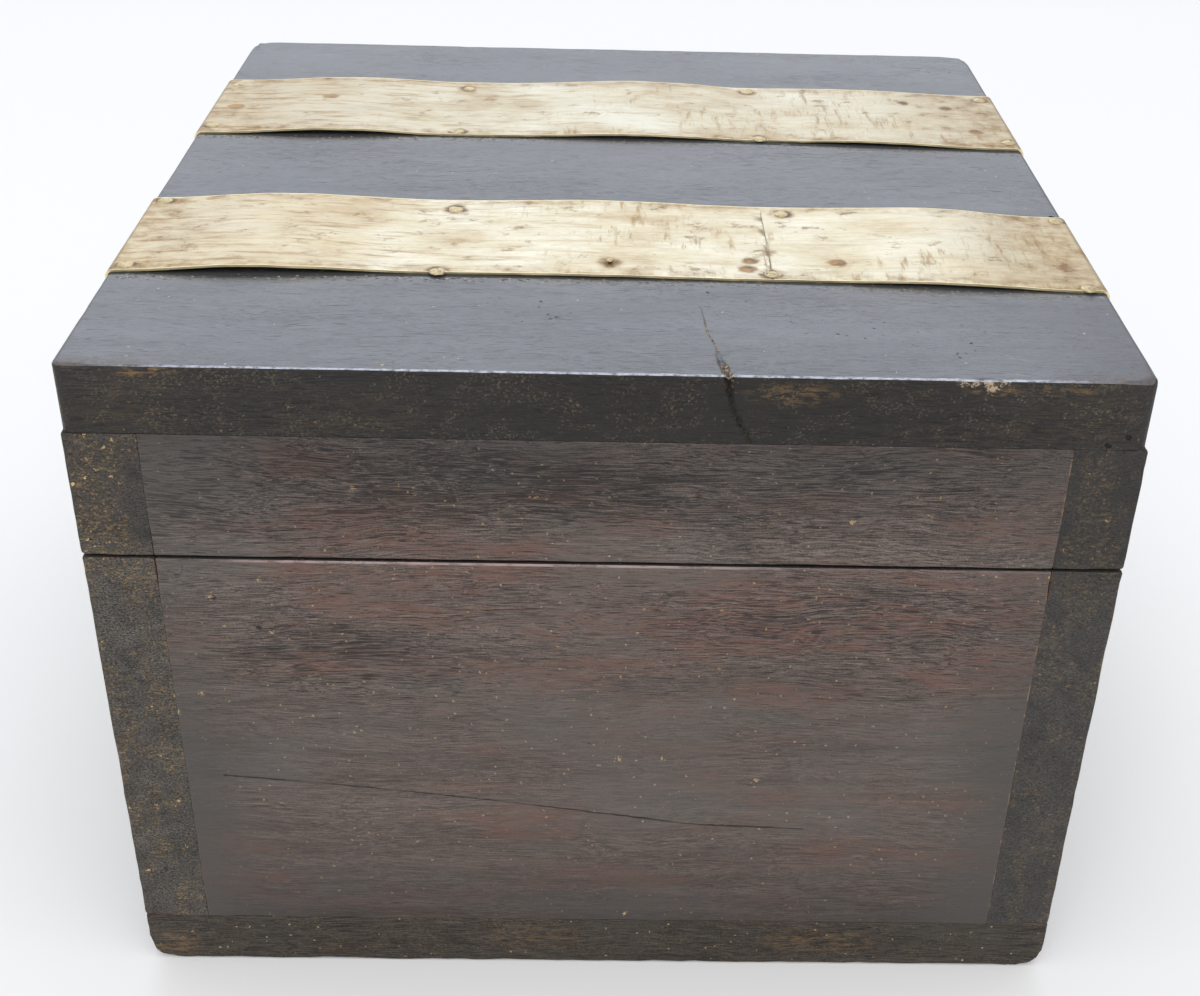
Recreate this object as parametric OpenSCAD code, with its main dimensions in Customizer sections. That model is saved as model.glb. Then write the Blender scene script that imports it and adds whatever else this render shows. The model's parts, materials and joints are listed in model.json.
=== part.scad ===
// Silverware chest: a dark hardwood box with a hinged lid, two nailed brass straps whose back ends
// are rolled into the hinges, a box lock with its key, and a lift-out tray for cutlery.
// X runs along the chest, the front is at -Y, Z is up, and the origin is the middle of the base.

/* [Chest] */
// Length of the chest, from its left end to its right end
chest_length = 264; // [230:1:400]
// Depth of the chest, from front to back
chest_depth = 260; // [210:1:400]
// Height of the body, from the floor to its rim
body_height = 139; // [110:1:220]
// Thickness of the front, back and end boards
wall = 18; // [16:0.5:24]
// Thickness of the bottom board
bottom_board_thickness = 17; // [12:0.5:22]
// Rounding of the two long lower edges
foot_round = 6; // [1:0.5:10]

/* [Lid] */
// Height of the lid, from the seam to the top of its board
lid_height = 52.3; // [44:0.1:90]
// Thickness of the lid's top board
top_board_thickness = 18; // [14:0.5:22]
// Gap that shows between the body and the closed lid
seam_gap = 0.7; // [0.4:0.1:1.2]
// Rounding of the lid's upright corners
corner_round = 3; // [1:0.5:8]
// Rounding of the top board's upper edges
arris_round = 1.5; // [0.5:0.1:3]

/* [Brass straps] */
// Thickness of the brass sheet
sheet = 0.6; // [0.5:0.1:0.9]
// Width of the right strap
right_strap_width = 51.5; // [36:0.5:60]
// Width of the left strap
left_strap_width = 53.5; // [36:0.5:60]
// Distance from the middle of the chest to the middle of the right strap
right_strap_offset = 49; // [36:1:78]
// Distance from the middle of the chest to the middle of the left strap
left_strap_offset = 61; // [36:1:78]
// How far the straps run down the front of the lid
strap_tab = 28; // [24:1:38]
// Height of the tallest ripple of a strap between its nails
ripple_height = 1.7; // [0.5:0.1:2.4]

/* [Hinges] */
// Radius of the hinge pins
pin_radius = 1.5; // [1.3:0.1:2]
// Radial clearance of a pin in the lid's knuckles
pin_clearance = 0.05; // [0.02:0.01:0.1]
// Length of the lower hinge leaves
leaf_length = 42; // [28:1:80]
// Length of the knuckle in the middle of each hinge
middle_knuckle = 17; // [10:0.5:22]
// End gap between two knuckles
knuckle_gap = 0.4; // [0.2:0.1:0.8]

/* [Strap nails] */
// Radius of a domed nail head
nail_head_radius = 2.35; // [1.8:0.05:2.8]
// Height of a domed nail head
nail_head_height = 0.8; // [0.5:0.1:0.9]
// Radius of a nail's shank
nail_shank_radius = 0.9; // [0.6:0.1:1.2]
// Length of a nail under its head
nail_length = 12; // [8:0.5:13]
// Distance from the middle of a nail to the strap's edge
nail_inset = 3.7; // [3:0.1:6]
// Radius of the head of the small extra tack in the right strap
tack_head_radius = 1.2; // [0.8:0.1:2]

/* [Nails in the wood] */
// Radius of an iron nail's head
iron_head_radius = 2.4; // [1.8:0.1:3]
// Radius of an iron nail's shank
iron_shank_radius = 1.2; // [0.8:0.1:1.6]
// Length of an iron nail
iron_nail_length = 40; // [28:1:46]
// Depth that the iron heads are set below the wood
iron_nail_set = 0.3; // [0.1:0.1:1]

/* [Lock and key] */
// Distance from the body's rim down to the keyhole
keyhole_drop = 23; // [22:0.5:30]
// Width of the lock case
lock_width = 40; // [39:0.5:46]
// Depth of the lock case in the front board
lock_depth = 11.5; // [11:0.1:12.5]
// Thickness of the lock's plates
lock_plate = 1.2; // [0.8:0.1:1.4]
// Length of the selvedge, the plate let into the rim
selvedge_length = 62; // [58:1:80]
// Radius of the key's bit, from the key's axis to its tip
bit_radius = 5.6; // [5.2:0.1:6]
// Radius of the key's barrel
barrel_radius = 2.1; // [1.9:0.1:2.4]
// Distance that the key's barrel stands out of the front
key_reach = 10; // [7:0.5:20]
// Radius of the ring in the key's bow, at the middle of its wire
bow_radius = 8.5; // [6:0.5:12]
// Radius of the escutcheon's disc
escutcheon_radius = 11; // [10:0.5:16]

/* [Tray] */
// Height of the tray with its bottom
tray_height = 34; // [22:1:40]
// Distance from the body's rim down to the top of the tray
tray_drop = 2; // [1:0.5:10]
// Gap between the tray and the inside of the chest, on each side
tray_clearance = 0.8; // [0.5:0.1:2]
// Thickness of the tray's sides
tray_side = 6; // [4:0.5:8]
// Thickness of the tray's bottom
tray_bottom_thickness = 4; // [3:0.5:6]
// Thickness of the tray's dividers
divider_thickness = 5; // [3:0.5:8]
// Distance that the dividers stay below the tray's sides
divider_drop = 6; // [0:0.5:10]
// Radius of the finger notches in the tray's ends
notch_radius = 11; // [9:0.5:13]
// Width of the ledges that carry the tray
ledge_width = 8; // [5:0.5:14]
// Height of the ledges that carry the tray
ledge_height = 10; // [6:0.5:16]

/* [Linings] */
// Thickness of the baize in the lid and on the floor
baize = 1.2; // [0.8:0.1:2]
// Thickness of the baize in the tray
tray_baize = 1; // [0.8:0.1:2]
// Gap that the baize leaves at its edges
baize_gap = 0.5; // [0.3:0.1:1.5]

/* [Hidden] */
$fn = 48;

wood_colour = "#3b2b27";
brass_colour = "#d6caa0";
iron_colour = "#4b4641";
baize_colour = "#27402f";
tray_colour = "#6b4630";

// Length by which a cutting shape runs past the faces that it cuts
past = 1;
// Radial clearance of a nail or screw in its hole
snug = 0.05;
// Clearance of a part let into the wood
let_in = 0.2;

half_l = chest_length / 2;
half_d = chest_depth / 2;
inner_l = chest_length - 2 * wall;
inner_d = chest_depth - 2 * wall;
lid_bottom = body_height + seam_gap;
lid_top = lid_bottom + lid_height;
top_board_z = lid_top - top_board_thickness;
rail_height = top_board_z - lid_bottom;

// The hinge axis lies behind the back of the chest, level with the middle of the seam
knuckle_radius = pin_radius + pin_clearance + sheet;
hinge_y = half_d + knuckle_radius;
hinge_z = body_height + seam_gap / 2;
// Room left round a knuckle where the other leaf is cut away
knuckle_room = 0.5;
// Height of the cut corners of a hinge leaf
leaf_corner = 8;
// A pin's heads stand out past the knuckles, and are a little wider than its shaft
pin_head = 0.8;
pin_head_rim = 0.3;

// Nails of a strap: an end column near each edge of the lid, and two inner columns at shares of the
// way between them. The two nails of a column are staggered by up to nail_stagger.
edge_room = 0.2;
end_column = half_d - arris_round - nail_head_radius - edge_room;
right_shares = [0, 0.324, 0.68, 1];
left_shares = [0, 0.308, 0.685, 1];
right_stagger = [0, 0.7, 3, 0.9];
left_stagger = [0.3, 0.2, -0.4, -0.7];
nail_stagger = 3;
// Half the length of the flat place that a strap has at each column of nails
nail_seat = nail_head_radius + nail_stagger;
// Share of ripple_height that each bay between two columns has, from the front to the back
right_ripples = [1, 0.7, 0.42];
left_ripples = [0.78, 0.88, 0.3];
ripple_steps = 72;
// The small tack sits this far from the right strap's right edge, at the middle of the lid
tack_inset = 7.8;
tack_height = 0.5;
tack_shank_radius = 0.6;
tack_length = 8;
tab_nail_z = lid_top - strap_tab + nail_inset;
// The first pair of nails in a lower hinge leaf, below the hinge axis
leaf_nail_drop = 12;

iron_head_height = 1.2;
wall_nail_shares = [0.12, 0.5, 0.88];
lid_nail_shares = [0.28, 0.72];

// The lock: works_y is the plane in which its bolt slides
inner_face_y = -half_d + wall;
pocket_y = inner_face_y - lock_depth;
works_y = inner_face_y - lock_depth / 2;
key_z = body_height - keyhole_drop;
lock_below_key = 10;
lock_height = keyhole_drop + lock_below_key;
lock_bottom = body_height - lock_height;
selvedge_lip = 1;
// The key's quarter turn moves the bolt as far as it carries the part of the bit in the talon
key_turn = 90;
talon_share = 0.91;
bolt_travel = 2 * talon_share * bit_radius * sin(key_turn / 2);
bolt_lift = 0.2;
bolt_edge = key_z + bit_radius * cos(key_turn / 2) + bolt_lift;
bolt_thickness = 2.6;
bolt_height = 7.2;
bolt_top = bolt_edge + bolt_height;
bolt_left = -16;
bolt_right = 9;
talon_width = 2.9;
talon_room = 0.35;
talon_top = key_z + bit_radius + talon_room;
bit_thickness = 1.6;
bit_width = 5;
// A stump of the case guides the bolt by a slot
stump_x = 4;
stump_rise = 2.35;
stump_z = talon_top + stump_rise;
stump_radius = 1.1;
slot_room = 0.2;
// The lid's loop hangs through the selvedge, and the bolt's finger slides through its eye
loop_thickness = 2.5;
loop_width = 7.2;
eye_radius = 2.2;
eye_drop = 5.3;
eye_z = body_height - eye_drop;
finger = 2.6;
finger_tip = -2.2;
finger_length = 7.05;
neck_width = 5;
slot_side = 0.5;
drill_pin_radius = 1.15;
bore_clearance = 0.08;
bore_radius = drill_pin_radius + bore_clearance;
drill_pin_reach = 3.5;
drill_pin_end = works_y - drill_pin_reach;
key_tip_room = 0.8;
key_tip_y = inner_face_y - lock_plate - key_tip_room;
keyhole_room = 0.6;
bow_wire = 1.5;
collar_radius = 3.2;
collar_width = 1.5;
screw_head_radius = 2.3;
screw_head_height = 1.6;
screw_shank_radius = 1.1;
screw_length = 11;
screw_slot = 0.6;
screw_inset = 5;
selvedge_screw_x = selvedge_length / 2 - screw_inset;
escutcheon_thickness = 1;
ear_radius = 3.6;
ear_rise = 0.6;
ear_z = escutcheon_radius + ear_rise;
escutcheon_pin_length = 5;
spring_thickness = 0.4;
spring_radius = 23;
spring_room = 0.2;
spring_x = 5;

// The tray hangs on its ledges
tray_length = inner_l - 2 * tray_clearance;
tray_depth = inner_d - 2 * tray_clearance;
tray_top = body_height - tray_drop;
tray_z = tray_top - tray_height;
tray_floor = tray_z + tray_bottom_thickness;
divider_height = tray_top - divider_drop - tray_floor;
bay_width = (tray_depth - 2 * tray_side - 3 * divider_thickness) / 4;
brad_radius = 0.6;
brad_head_radius = 1.3;
brad_head_height = 0.5;
brad_length = 14;
brad_set = 0.1;
ledge_brad_shares = [-0.37, -0.16, 0.16, 0.37];

// Height of a strap above the lid at depth y, in a bay that runs from a to b
function bay_rise(y, a, b, rise) = (y <= a || y >= b) ? 0 : rise * pow(sin(180 * (y - a) / (b - a)), 2);
function columns(shares) = [for (s = shares) end_column * (2 * s - 1)];
function ripple(y, cols, rises, seat) =
    bay_rise(y, cols[0] + seat, cols[1] - seat, rises[0])
    + bay_rise(y, cols[1] + seat, cols[2] - seat, rises[1])
    + bay_rise(y, cols[2] + seat, cols[3] - seat, rises[2]);

// Lays a flat drawing in the YZ plane and stretches it along X
module along_x(length) {
    rotate([90, 0, 90])
        linear_extrude(length, center = true)
            children();
}

// Lays a flat drawing in the XZ plane and stretches it along Y
module along_y(length) {
    rotate([90, 0, 0])
        linear_extrude(length, center = true)
            children();
}

// A box that is centred in X and Y and stands on z
module slab(length, depth, height, x = 0, y = 0, z = 0) {
    translate([x - length / 2, y - depth / 2, z])
        cube([length, depth, height]);
}

// A rectangle with round corners of one radius at the top and another at the bottom
module edge_profile(width, z0, z1, top_r, bottom_r) {
    translate([-width / 2, z0 + bottom_r])
        square([width, z1 - z0 - top_r - bottom_r]);
    corner_band(width, z1 - top_r, top_r, 1);
    corner_band(width, z0 + bottom_r, bottom_r, -1);
}

module corner_band(width, z, r, side) {
    if (r > 0) {
        translate([-width / 2 + r, side > 0 ? z : z - r])
            square([width - 2 * r, r]);
        for (x = [-width / 2 + r, width / 2 - r])
            translate([x, z])
                circle(r);
    }
}

// Puts what it holds on the front (-1) or the back (1), with its +Z pointing out of the wood
module on_face(face, x, z) {
    translate([x, face * half_d, z])
        rotate([-90 * face, 0, 0])
            children();
}

module under_base(x, y) {
    translate([x, y, 0])
        rotate([180, 0, 0])
            children();
}

// A nail with a domed head on z = 0 and its shank below
module domed_nail(head_r, head_h, shank_r, length) {
    dome_r = (head_r * head_r + head_h * head_h) / (2 * head_h);
    intersection() {
        translate([0, 0, head_h - dome_r])
            sphere(dome_r);
        cylinder(r = head_r, h = head_h + past);
    }
    translate([0, 0, -length])
        cylinder(r = shank_r, h = length);
}

module strap_nail() {
    domed_nail(nail_head_radius, nail_head_height, nail_shank_radius, nail_length);
}

module strap_nail_hole() {
    translate([0, 0, -nail_length - snug])
        cylinder(r = nail_shank_radius + snug, h = nail_length + past);
}

// A nail whose flat head is set a little below the wood's face
module flush_nail(head_r, head_h, shank_r, length, set) {
    translate([0, 0, -set - head_h])
        cylinder(r = head_r, h = head_h);
    translate([0, 0, -set - length])
        cylinder(r = shank_r, h = length);
}

module flush_nail_hole(head_r, head_h, shank_r, length, set) {
    translate([0, 0, -set - head_h])
        cylinder(r = head_r + snug, h = head_h + set + past);
    translate([0, 0, -set - length - snug])
        cylinder(r = shank_r + snug, h = length);
}

module iron_nail() {
    flush_nail(iron_head_radius, iron_head_height, iron_shank_radius, iron_nail_length, iron_nail_set);
}

module iron_nail_hole() {
    flush_nail_hole(iron_head_radius, iron_head_height, iron_shank_radius, iron_nail_length, iron_nail_set);
}

module brad() {
    flush_nail(brad_head_radius, brad_head_height, brad_radius, brad_length, brad_set);
}

module brad_hole() {
    flush_nail_hole(brad_head_radius, brad_head_height, brad_radius, brad_length, brad_set);
}

// A countersunk wood screw with its head's top on z = 0
module screw() {
    difference() {
        union() {
            translate([0, 0, -screw_head_height])
                cylinder(r1 = screw_shank_radius, r2 = screw_head_radius, h = screw_head_height);
            translate([0, 0, -screw_length])
                cylinder(r = screw_shank_radius, h = screw_length - screw_head_height);
        }
        slab(2 * screw_head_radius + past, screw_slot, screw_slot + past, z = -screw_slot);
    }
}

module screw_hole() {
    translate([0, 0, -screw_head_height])
        cylinder(r1 = screw_shank_radius + snug, r2 = screw_head_radius + snug, h = screw_head_height);
    translate([0, 0, -screw_length - snug])
        cylinder(r = screw_shank_radius + snug, h = screw_length);
    cylinder(r = screw_head_radius + snug, h = past);
}

// Where the iron nails go: through the front or back board into the ends, and up through the bottom
module wall_nail_places(face) {
    wall_height = body_height - bottom_board_thickness;
    for (x = [-1, 1] * (half_l - wall / 2), share = wall_nail_shares)
        on_face(face, x, bottom_board_thickness + share * wall_height)
            children();
}

module end_bottom_nail_places(side) {
    for (y = [-0.25, 0.25] * chest_depth)
        under_base(side * (half_l - wall / 2), y)
            children();
}

module long_bottom_nail_places(face) {
    for (x = [-0.3, 0, 0.3] * chest_length)
        under_base(x, face * (half_d - wall / 2))
            children();
}

module lid_nail_places(face) {
    for (x = [-1, 1] * (half_l - wall / 2), share = lid_nail_shares)
        on_face(face, x, lid_bottom + share * rail_height)
            children();
}

// Body of the chest

module bottom_board() {
    color(wood_colour)
        difference() {
            along_x(chest_length)
                edge_profile(chest_depth, 0, bottom_board_thickness, 0, foot_round);
            for (side = [-1, 1]) {
                end_bottom_nail_places(side) iron_nail_hole();
                long_bottom_nail_places(side) iron_nail_hole();
            }
        }
}

module long_board(face) {
    difference() {
        slab(
            chest_length, wall, body_height - bottom_board_thickness,
            y = face * (half_d - wall / 2), z = bottom_board_thickness
        );
        wall_nail_places(face) iron_nail_hole();
        long_bottom_nail_places(face) iron_nail_hole();
        ledge_brad_places(face) brad_hole();
    }
}

// The front board holds the lock in a pocket and the selvedge in its rim
module front_board() {
    color(wood_colour)
        difference() {
            long_board(-1);
            translate([-lock_width / 2 - let_in, pocket_y - let_in, lock_bottom - let_in])
                cube([lock_width + 2 * let_in, lock_depth + let_in + past, lock_height + past]);
            translate([0, 0, body_height - lock_plate])
                plate_recess();
            keyhole();
            selvedge_screw_places() screw_hole();
            escutcheon_pin_places() escutcheon_pin_hole();
        }
}

module back_board() {
    color(wood_colour)
        difference() {
            long_board(1);
            leaf_nail_places(right_strap_offset, right_strap_width) strap_nail_hole();
            leaf_nail_places(-left_strap_offset, left_strap_width) strap_nail_hole();
        }
}

module end_panel(side) {
    color(wood_colour)
        difference() {
            slab(
                wall, inner_d, body_height - bottom_board_thickness,
                x = side * (half_l - wall / 2), z = bottom_board_thickness
            );
            wall_nail_places(-1) iron_nail_hole();
            wall_nail_places(1) iron_nail_hole();
            end_bottom_nail_places(side) iron_nail_hole();
        }
}

module carcass_nails() {
    color(iron_colour)
        for (side = [-1, 1]) {
            wall_nail_places(side) iron_nail();
            end_bottom_nail_places(side) iron_nail();
            long_bottom_nail_places(side) iron_nail();
        }
}

module ledge_brad_places(face) {
    for (share = ledge_brad_shares)
        translate([share * chest_length, face * (inner_d / 2 - ledge_width), tray_z - ledge_height / 2])
            rotate([90 * face, 0, 0])
                children();
}

module tray_ledge(face) {
    color(wood_colour)
        difference() {
            slab(
                inner_l, ledge_width, ledge_height,
                y = face * (inner_d - ledge_width) / 2, z = tray_z - ledge_height
            );
            ledge_brad_places(face) brad_hole();
        }
}

module ledge_brads() {
    color(brass_colour)
        for (face = [-1, 1])
            ledge_brad_places(face) brad();
}

module floor_lining() {
    color(baize_colour)
        slab(inner_l - 2 * baize_gap, inner_d - 2 * baize_gap, baize, z = bottom_board_thickness);
}

// Lock

module selvedge_screw_places() {
    for (x = [-1, 1] * selvedge_screw_x)
        translate([x, works_y, body_height])
            children();
}

// The selvedge and the link plate have one outline, and each lies in a recess of this shape
module plate_recess() {
    translate([-selvedge_length / 2 - let_in, pocket_y - selvedge_lip - let_in, 0])
        cube([selvedge_length + 2 * let_in, lock_depth + selvedge_lip + let_in + past, lock_plate + past]);
}

// The keyhole runs in from the front, through the escutcheon, the wood and the lock's cap
module keyhole() {
    front_y = -half_d - escutcheon_thickness - past;
    slot_z = key_z - bit_radius - keyhole_room;
    translate([0, front_y, key_z])
        rotate([-90, 0, 0])
            cylinder(r = barrel_radius + keyhole_room, h = wall);
    translate([-bit_thickness / 2 - keyhole_room, front_y, slot_z])
        cube([bit_thickness + 2 * keyhole_room, wall, bit_radius]);
}

module lock_case() {
    side_depth = lock_depth - 2 * lock_plate;
    color(brass_colour)
        difference() {
            union() {
                translate([-lock_width / 2, inner_face_y - lock_plate, lock_bottom])
                    cube([lock_width, lock_plate, lock_height]);
                for (x = [-lock_width / 2, lock_width / 2 - lock_plate])
                    translate([x, pocket_y + lock_plate, lock_bottom])
                        cube([lock_plate, side_depth, lock_height]);
                translate([-lock_width / 2, pocket_y + lock_plate, lock_bottom])
                    cube([lock_width, side_depth, lock_plate]);
                translate([-selvedge_length / 2, pocket_y - selvedge_lip, body_height - lock_plate])
                    cube([selvedge_length, lock_depth + selvedge_lip, lock_plate]);
                translate([0, inner_face_y - lock_plate, key_z])
                    rotate([90, 0, 0])
                        cylinder(r = drill_pin_radius, h = inner_face_y - lock_plate - drill_pin_end);
                translate([stump_x, inner_face_y - lock_plate, stump_z])
                    rotate([90, 0, 0])
                        cylinder(r = stump_radius, h = side_depth);
            }
            slab(
                loop_thickness + 2 * slot_side, loop_width + 2 * slot_side, lock_plate + 2 * past,
                y = works_y, z = body_height - lock_plate - past
            );
            selvedge_screw_places() screw_hole();
        }
}

module lock_cap() {
    color(brass_colour)
        difference() {
            translate([-lock_width / 2, pocket_y, lock_bottom])
                cube([lock_width, lock_plate, lock_height - lock_plate]);
            keyhole();
        }
}

// A bent strip from the case's right side that bears on the bolt
module lock_spring() {
    wall_x = lock_width / 2 - lock_plate;
    middle_z = bolt_top + spring_room + spring_radius;
    color(brass_colour)
        translate([0, works_y, 0])
            along_y(bolt_thickness)
                intersection() {
                    translate([spring_x, middle_z])
                        difference() {
                            circle(spring_radius, $fn = 96);
                            circle(spring_radius - spring_thickness, $fn = 96);
                        }
                    translate([0, bolt_top])
                        square([wall_x, spring_radius / 2]);
                }
}

module lock_screws() {
    color(brass_colour)
        selvedge_screw_places() screw();
}

module escutcheon_pin_places() {
    for (z = [-1, 1] * ear_z)
        on_face(-1, 0, key_z + z)
            translate([0, 0, escutcheon_thickness])
                children();
}

module escutcheon_pin_hole() {
    translate([0, 0, -escutcheon_pin_length - snug])
        cylinder(r = tack_shank_radius + snug, h = escutcheon_pin_length + past);
}

module escutcheon() {
    color(brass_colour)
        difference() {
            on_face(-1, 0, key_z) {
                cylinder(r = escutcheon_radius, h = escutcheon_thickness, $fn = 96);
                for (z = [-1, 1] * ear_z)
                    translate([0, z, 0])
                        cylinder(r = ear_radius, h = escutcheon_thickness);
            }
            keyhole();
            escutcheon_pin_places() escutcheon_pin_hole();
        }
}

module escutcheon_pins() {
    color(brass_colour)
        escutcheon_pin_places()
            domed_nail(tack_head_radius, tack_height, tack_shank_radius, escutcheon_pin_length);
}

// The bolt slides along X: its talon takes the key's bit, and its finger goes through the lid's loop
module lock_bolt() {
    neck_right = finger_tip - finger_length;
    talon_x = -bolt_travel / 2;
    slot_half = stump_radius + slot_room;
    color(iron_colour)
        translate([0, works_y, 0])
            along_y(bolt_thickness)
                difference() {
                    union() {
                        translate([bolt_left, bolt_edge])
                            square([bolt_right - bolt_left, bolt_top - bolt_edge]);
                        translate([neck_right - neck_width, bolt_top - past])
                            square([neck_width, eye_z + finger / 2 - bolt_top + past]);
                        translate([neck_right - past, eye_z - finger / 2])
                            square([finger_length + past, finger]);
                    }
                    translate([talon_x - talon_width / 2, bolt_edge - past])
                        square([talon_width, talon_top - bolt_edge + past]);
                    translate([stump_x - bolt_travel, stump_z - slot_half])
                        square([bolt_travel, 2 * slot_half]);
                    for (x = [stump_x - bolt_travel, stump_x])
                        translate([x, stump_z])
                            circle(slot_half);
                }
}

// The key at rest has its bit up and to the left, about to move the bolt
module key() {
    color(iron_colour)
        translate([0, 0, key_z])
            rotate([0, -key_turn / 2, 0])
                difference() {
                    union() {
                        translate([0, key_tip_y, 0])
                            rotate([90, 0, 0])
                                cylinder(r = barrel_radius, h = key_tip_y + half_d + key_reach);
                        translate([-bit_thickness / 2, works_y - bit_width / 2, 0])
                            cube([bit_thickness, bit_width, bit_radius]);
                        for (y = [0.25, 0.85] * key_reach)
                            translate([0, -half_d - y, 0])
                                rotate([90, 0, 0])
                                    cylinder(r = collar_radius, h = collar_width);
                        translate([0, -half_d - key_reach - bow_radius, 0])
                            rotate([0, 90, 0])
                                rotate_extrude()
                                    translate([bow_radius, 0])
                                        circle(bow_wire);
                    }
                    translate([0, key_tip_y + past, 0])
                        rotate([90, 0, 0])
                            cylinder(r = bore_radius, h = key_tip_y + past - drill_pin_end + past);
                }
}

// Lower hinge leaves and pins

module leaf_nail_places(x, width) {
    for (side = [-1, 1], z = [hinge_z - leaf_nail_drop, hinge_z - leaf_length + leaf_corner])
        on_face(1, x + side * (width / 2 - nail_inset - 1), z)
            translate([0, 0, sheet])
                children();
}

module knuckle(x, length, bore) {
    translate([x - length / 2, hinge_y, hinge_z])
        rotate([0, 90, 0])
            difference() {
                cylinder(r = knuckle_radius, h = length);
                translate([0, 0, -past])
                    cylinder(r = bore, h = length + 2 * past);
            }
}

module hinge_leaf(x, width) {
    side_width = (width - middle_knuckle) / 2;
    color(brass_colour) {
        difference() {
            on_face(1, x, hinge_z)
                linear_extrude(sheet)
                    polygon([
                        [-width / 2, 0], [width / 2, 0],
                        [width / 2, leaf_length - leaf_corner], [width / 2 - leaf_corner, leaf_length],
                        [leaf_corner - width / 2, leaf_length], [-width / 2, leaf_length - leaf_corner]
                    ]);
            for (side = [-1, 1])
                slab(
                    side_width + past, 4 * sheet, knuckle_radius + knuckle_room + past,
                    x = x + side * (middle_knuckle + side_width + past) / 2,
                    y = half_d, z = hinge_z - knuckle_radius - knuckle_room
                );
            leaf_nail_places(x, width) strap_nail_hole();
        }
        knuckle(x, middle_knuckle, pin_radius);
    }
}

module hinge_pin(x, width) {
    color(iron_colour)
        translate([x - width / 2, hinge_y, hinge_z])
            rotate([0, 90, 0]) {
                cylinder(r = pin_radius, h = width);
                for (z = [-pin_head, width])
                    translate([0, 0, z])
                        cylinder(r = pin_radius + pin_head_rim, h = pin_head);
            }
}

module hinge_leaf_nails() {
    color(brass_colour) {
        leaf_nail_places(right_strap_offset, right_strap_width) strap_nail();
        leaf_nail_places(-left_strap_offset, left_strap_width) strap_nail();
    }
}

// Lid

module strap_nail_places(x, width, shares, stagger) {
    cols = columns(shares);
    for (i = [0:3], side = [-1, 1])
        translate([x + side * (width / 2 - nail_inset), cols[i] - side * stagger[i], lid_top + sheet])
            children();
    for (face = [-1, 1], side = [-1, 1])
        on_face(face, x + side * (width / 2 - nail_inset), tab_nail_z)
            translate([0, 0, sheet])
                children();
}

// The tack sits on the strap's middle ripple
module tack_place() {
    rise = ripple(0, columns(right_shares), right_ripples * ripple_height, nail_seat);
    translate([right_strap_offset + right_strap_width / 2 - tack_inset, 0, lid_top + sheet + rise])
        children();
}

module tack_hole() {
    translate([0, 0, -tack_length - snug])
        cylinder(r = tack_shank_radius + snug, h = tack_length + past);
}

module lid_top_board() {
    color(wood_colour)
        difference() {
            intersection() {
                slab_with_round_corners();
                along_x(chest_length)
                    edge_profile(chest_depth, top_board_z, lid_top, arris_round, 0);
                along_y(chest_depth)
                    edge_profile(chest_length, top_board_z, lid_top, arris_round, 0);
            }
            strap_nail_places(right_strap_offset, right_strap_width, right_shares, right_stagger)
                strap_nail_hole();
            strap_nail_places(-left_strap_offset, left_strap_width, left_shares, left_stagger)
                strap_nail_hole();
            tack_place() tack_hole();
        }
}

module slab_with_round_corners() {
    slab(chest_length - 2 * corner_round, chest_depth, top_board_thickness, z = top_board_z);
    slab(chest_length, chest_depth - 2 * corner_round, top_board_thickness, z = top_board_z);
    for (x = [-1, 1] * (half_l - corner_round), y = [-1, 1] * (half_d - corner_round))
        translate([x, y, top_board_z])
            cylinder(r = corner_round, h = top_board_thickness);
}

module lid_long_rail(face) {
    difference() {
        slab(chest_length, wall, rail_height, y = face * (half_d - wall / 2), z = lid_bottom);
        lid_nail_places(face) iron_nail_hole();
        strap_nail_places(right_strap_offset, right_strap_width, right_shares, right_stagger)
            strap_nail_hole();
        strap_nail_places(-left_strap_offset, left_strap_width, left_shares, left_stagger)
            strap_nail_hole();
    }
}

module lid_front_rail() {
    color(wood_colour)
        difference() {
            lid_long_rail(-1);
            translate([0, 0, lid_bottom - past])
                plate_recess();
            link_screw_places() screw_hole();
        }
}

module lid_back_rail() {
    color(wood_colour)
        lid_long_rail(1);
}

module lid_end_rail(side) {
    color(wood_colour)
        difference() {
            slab(wall, inner_d, rail_height, x = side * (half_l - wall / 2), z = lid_bottom);
            lid_nail_places(-1) iron_nail_hole();
            lid_nail_places(1) iron_nail_hole();
        }
}

module lid_nails() {
    color(iron_colour)
        for (face = [-1, 1])
            lid_nail_places(face) iron_nail();
}

module lid_lining() {
    color(baize_colour)
        slab(inner_l - 2 * baize_gap, inner_d - 2 * baize_gap, baize, z = top_board_z - baize);
}

// One quarter of the bend where a strap turns over an edge of the lid
module strap_bend(face) {
    translate([face * (half_d - arris_round), lid_top - arris_round])
        intersection() {
            difference() {
                circle(arris_round + sheet);
                circle(arris_round);
            }
            translate([face > 0 ? 0 : -arris_round - sheet, 0])
                square(arris_round + sheet);
        }
}

// Side view of a strap: the front tab, a bend, the rippled top, a bend, and the back down to the hinge
module strap_section(shares, ripples) {
    cols = columns(shares);
    rises = ripples * ripple_height;
    flat_end = half_d - arris_round;
    run = [for (i = [0:ripple_steps]) flat_end * (2 * i / ripple_steps - 1)];
    under = [for (y = run) [y, lid_top + ripple(y, cols, rises, nail_seat)]];
    over = [for (i = [ripple_steps:-1:0]) under[i] + [0, sheet]];
    translate([-half_d - sheet, lid_top - strap_tab])
        square([sheet, strap_tab - arris_round]);
    translate([half_d, hinge_z])
        square([sheet, lid_top - arris_round - hinge_z]);
    strap_bend(-1);
    strap_bend(1);
    polygon(concat(under, over));
}

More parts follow.
